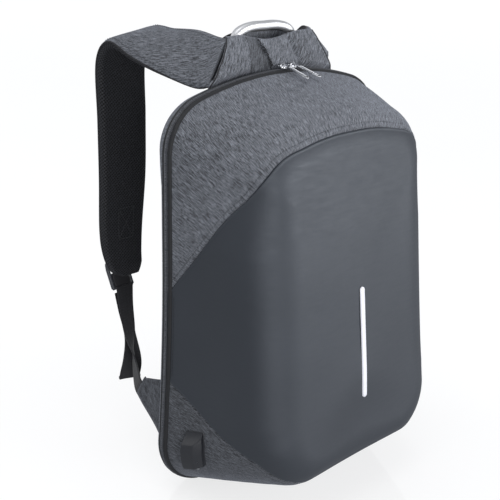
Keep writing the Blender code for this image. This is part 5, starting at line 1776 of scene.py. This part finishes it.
def blow_up(pad):
    """Cloth with pressure on a pad that is sewn down round its foot."""
    hold = pad.vertex_groups.new(name="sewn")
    hold.add([v.index for v in pad.data.vertices if v.co.y < PAD_LOW_Y + 0.0022], 1.0, "REPLACE")
    cloth = pad.modifiers.new("cloth", "CLOTH")
    settings = cloth.settings
    settings.use_pressure = True
    settings.uniform_pressure_force = 4.0
    settings.tension_stiffness = 60
    settings.compression_stiffness = 60
    settings.bending_stiffness = 2.0
    settings.mass = 0.25
    settings.quality = 4
    settings.vertex_group_mass = "sewn"
    settings.effector_weights.gravity = 0.0
    cloth.collision_settings.use_collision = False
    cloth.point_cache.frame_start = 1
    cloth.point_cache.frame_end = CLOTH_FRAMES


def back_pads():
    """Four foam pads under mesh, blown up as cloth, sewn down round their edges."""
    pads = pad_blocks()
    for pad, _ in pads:
        blow_up(pad)
    for step in range(1, CLOTH_FRAMES + 1):
        bpy.context.scene.frame_set(step)
    graph = bpy.context.evaluated_depsgraph_get()
    for pad, node in pads:
        blown = bpy.data.meshes.new_from_object(pad.evaluated_get(graph))
        start = np.array([v.co for v in pad.data.vertices])
        move = np.array([v.co for v in blown.vertices]) - start
        size = np.linalg.norm(move, axis=1, keepdims=True)
        final = start + move * np.minimum(1.0, PAD_SWELL / np.maximum(size, 1e-9))
        final[:, 1] = np.maximum(final[:, 1], PAD_LOW_Y)
        final[:, 1] = quilted(final)
        pad.modifiers.clear()
        pad.data.vertices.foreach_set("co", final.ravel())
        smooth = pad.modifiers.new("smooth", "SUBSURF")
        smooth.levels = smooth.render_levels = 1
        ready = joined(f"{node}_look", [pad])
        ready.data.shade_smooth()
        pad_uv(ready)
        put(ready, "back_half", "mesh", node)
    bpy.context.scene.frame_set(1)


def quilted(points):
    """y of the pad's face with two shallow slanted channels pressed into it."""
    xs, zs = np.abs(points[:, 0]), points[:, 2]
    face = np.clip((points[:, 1] - PAD_LOW_Y - 0.004) / 0.004, 0, 1)
    groove = np.zeros(len(points))
    for offset in (0.268, 0.325, 0.095, 0.150):
        groove += ridge(zs - offset - 0.30 * (xs - 0.066), 0.0030)
    return points[:, 1] - 0.0030 * groove * face


def pad_bindings():
    """Cord sewn round each pad where it meets the back panel."""
    for word, side in SIDES:
        for place, bottom, top in PAD_ROWS:
            outline = rounded_rectangle((PAD_X[1] - PAD_X[0]) / 2, 0, top - bottom, 0.010)
            middle = side * sum(PAD_X) / 2
            path = [(middle + x, PAD_LOW_Y + 0.0006, bottom + z) for x, z in outline]
            cord(f"pad_edge_{place}_{word}", path, 0.0011, closed=True)


# ---------------------------------------------------------------- studio


CAMERA_AT = Vector((-0.6758, -0.6323, 0.6057))
CAMERA_RIGHT = Vector((0.7311, -0.6819, 0.0250))
CAMERA_UP = Vector((0.2227, 0.2731, 0.9359))
LENS = 65.06


def camera():
    """Camera fitted to the traced outlines of the photograph."""
    data = bpy.data.cameras.new("camera")
    data.lens = LENS
    data.sensor_width = 36.0
    right = CAMERA_RIGHT.normalized()
    up = (CAMERA_UP - right * CAMERA_UP.dot(right)).normalized()
    turn = Matrix((right, up, right.cross(up))).transposed().to_4x4()
    eye = link("camera", data)
    eye.matrix_world = Matrix.Translation(CAMERA_AT) @ turn
    bpy.context.scene.camera = eye


def softbox(name, place, target, size, power):
    """Rectangular lamp at a place, turned to a target."""
    data = bpy.data.lights.new(name, "AREA")
    data.shape = "RECTANGLE"
    data.size, data.size_y = size
    data.energy = power
    way = Vector(target) - Vector(place)
    turn = way.to_track_quat("-Z", "Y").to_matrix().to_4x4()
    link(name, data).matrix_world = Matrix.Translation(place) @ turn


def studio():
    """Glossy white floor, a white dome that only the camera sees, a pale sky and four softboxes."""
    wide = 6.0
    floor = bpy.data.meshes.new("floor")
    corners = [(-wide, -wide, 0), (wide, -wide, 0), (wide, wide, 0), (-wide, wide, 0)]
    floor.from_pydata(corners, [], [(0, 1, 2, 3)])
    n = Nodes("floor")
    n.colour(n.mix(n.noise(n.space(), 3.0, 2.0), (0.34, 0.34, 0.345), (0.36, 0.36, 0.365)))
    n.rough(0.04)
    n.shader.inputs["Specular IOR Level"].default_value = 1.0
    n.shader.inputs["Emission Color"].default_value = (1, 1, 1, 1)
    n.shader.inputs["Emission Strength"].default_value = 0.72
    ground = link("floor", floor, n.look)
    ground.location.z = -0.0006
    dome = bpy.data.meshes.new("dome")
    work = bmesh.new()
    bmesh.ops.create_uvsphere(work, u_segments=48, v_segments=24, radius=8.0)
    work.to_mesh(dome)
    work.free()
    white = Nodes("dome")
    glow = white.add("ShaderNodeEmission", Strength=1.0)
    glow.inputs["Color"].default_value = (1, 1, 1, 1)
    white.link(glow.outputs[0], white.tree.nodes["Material Output"].inputs["Surface"])
    backdrop = link("dome", dome, white.look)
    backdrop.visible_shadow = False
    for shown in (ground, backdrop):
        shown.visible_diffuse = False
        shown.visible_glossy = False
    world = bpy.data.worlds.new("studio")
    world.use_nodes = True
    world.node_tree.nodes["Background"].inputs["Color"].default_value = (0.93, 0.96, 1.0, 1)
    world.node_tree.nodes["Background"].inputs["Strength"].default_value = 0.42
    softbox("key", (1.35, -2.32, 0.52), (0.0, -0.08, 0.20), (2.0, 1.0), 41)
    softbox("turn", (-1.35, -1.95, 0.55), (0.0, -0.08, 0.22), (1.4, 1.0), 23)
    softbox("top", (-0.3, 0.2, 2.4), (0.0, 0.0, 0.3), (1.6, 1.6), 15)
    softbox("back", (-1.4, 2.4, 1.4), (0.0, 0.1, 0.3), (1.6, 1.6), 12)
    scene = bpy.context.scene
    scene.world = world
    scene.view_settings.view_transform = "Standard"
    scene.view_settings.look = "None"


# ---------------------------------------------------------------- build


def front_details(upper_ribs, base_ribs):
    """Stitches along the seams and beside the zip."""
    for name, ribs in (("upper", upper_ribs), ("base", base_ribs)):
        found = [on_rib(rib, [SEAM_AT[rib] - SEAM_STITCH]) for rib in ribs if SEAM_AT[rib] > 0.012]
        path = [point[0] - normal[0] * 0.0001 for point, normal in found]
        ups = [normal[0] for _, normal in found]
        stitches(f"{name}_seam_stitches", path, ups, THREAD, "front_shell", "melange")
    edge_ribs = [rib for rib in range(RIBS) if LOWER_TIP < MASTER_SHARE[rib] < UPPER_TIP]
    for word, side in SIDES:
        ribs = [rib for rib in edge_ribs if MASTER[rib, 0, 0] * side > 0]
        path, ups = rib_path(ribs, 0.0085, 0.0003)
        stitches(f"wrap_edge_stitches_{word}", path, ups, DARK_THREAD, "front_shell", "coated")


def back_layers():
    """Foam, stiffener, lining and air mesh of the back half, each from its edge's profile."""
    edges = ((0.0125, 0.0036), (0.0160, 0.0036), (0.0205, 0.0042), (0.0238, 0.0048))
    foam = [rim_at(*edge) for edge in edges]
    board = [rim_at(0.0108, 0.004), rim_at(0.0120, 0.004)]
    lining = [rim_at(0.0095, 0.0036), rim_at(0.0104, 0.0036)]
    _, top, side = RIM_PROFILE[-1]
    panel = [(behind, top + 0.0018, side + 0.0018) for behind in (0.0243, 0.0270)]
    filled_plate("back_foam_look", foam, FOAM, "foam", "back_foam")
    filled_plate("back_stiffener_look", board, BOARD, "board", "back_stiffener")
    filled_plate("back_lining_look", lining, LINING, "lining", "back_lining")
    filled_plate("back_panel_look", panel, MESH, "mesh", "back_mesh_panel", wave=0.0006, seed=31.0)


def main():
    """Every piece in turn, then the cloth, the light and the camera."""
    upper_ribs = grey_panel("upper_panel_look", UPPER_TIP, 1.0, MELANGE, "upper_fabric_panel")
    base_ribs = grey_panel("base_panel_look", 0.0, LOWER_TIP, MELANGE_BASE_PAINTED_SHADE, "base_fabric_panel")
    wrap_panel()
    front_details(upper_ribs, base_ribs)
    shell_layer("foam_shell_look", FOAM_OUT, FOAM_IN, FOAM, "foam", "front_foam_shell")
    shell_layer("front_lining_look", LINING_OUT, LINING_IN, LINING, "lining", "front_lining", 0.0004)
    zip_half("front", front_edge, "front_shell")
    zip_half("back", back_edge, "back_half")
    gusset()
    back_layers()
    for word, rows in (("left", LEFT_STRAP), ("right", RIGHT_STRAP)):
        shoulder_strap(word, rows)
        lower_strap(word)
    collar_front()
    collar_back()
    carry_handle()
    zip_slider("left", 0.0040, 0.05)
    zip_slider("right", 0.0185, 0.20)
    usb_hood()
    reflective_strip()
    inside()
    hinge_tape()
    back_pads()
    pad_bindings()
    studio()
    camera()


main()
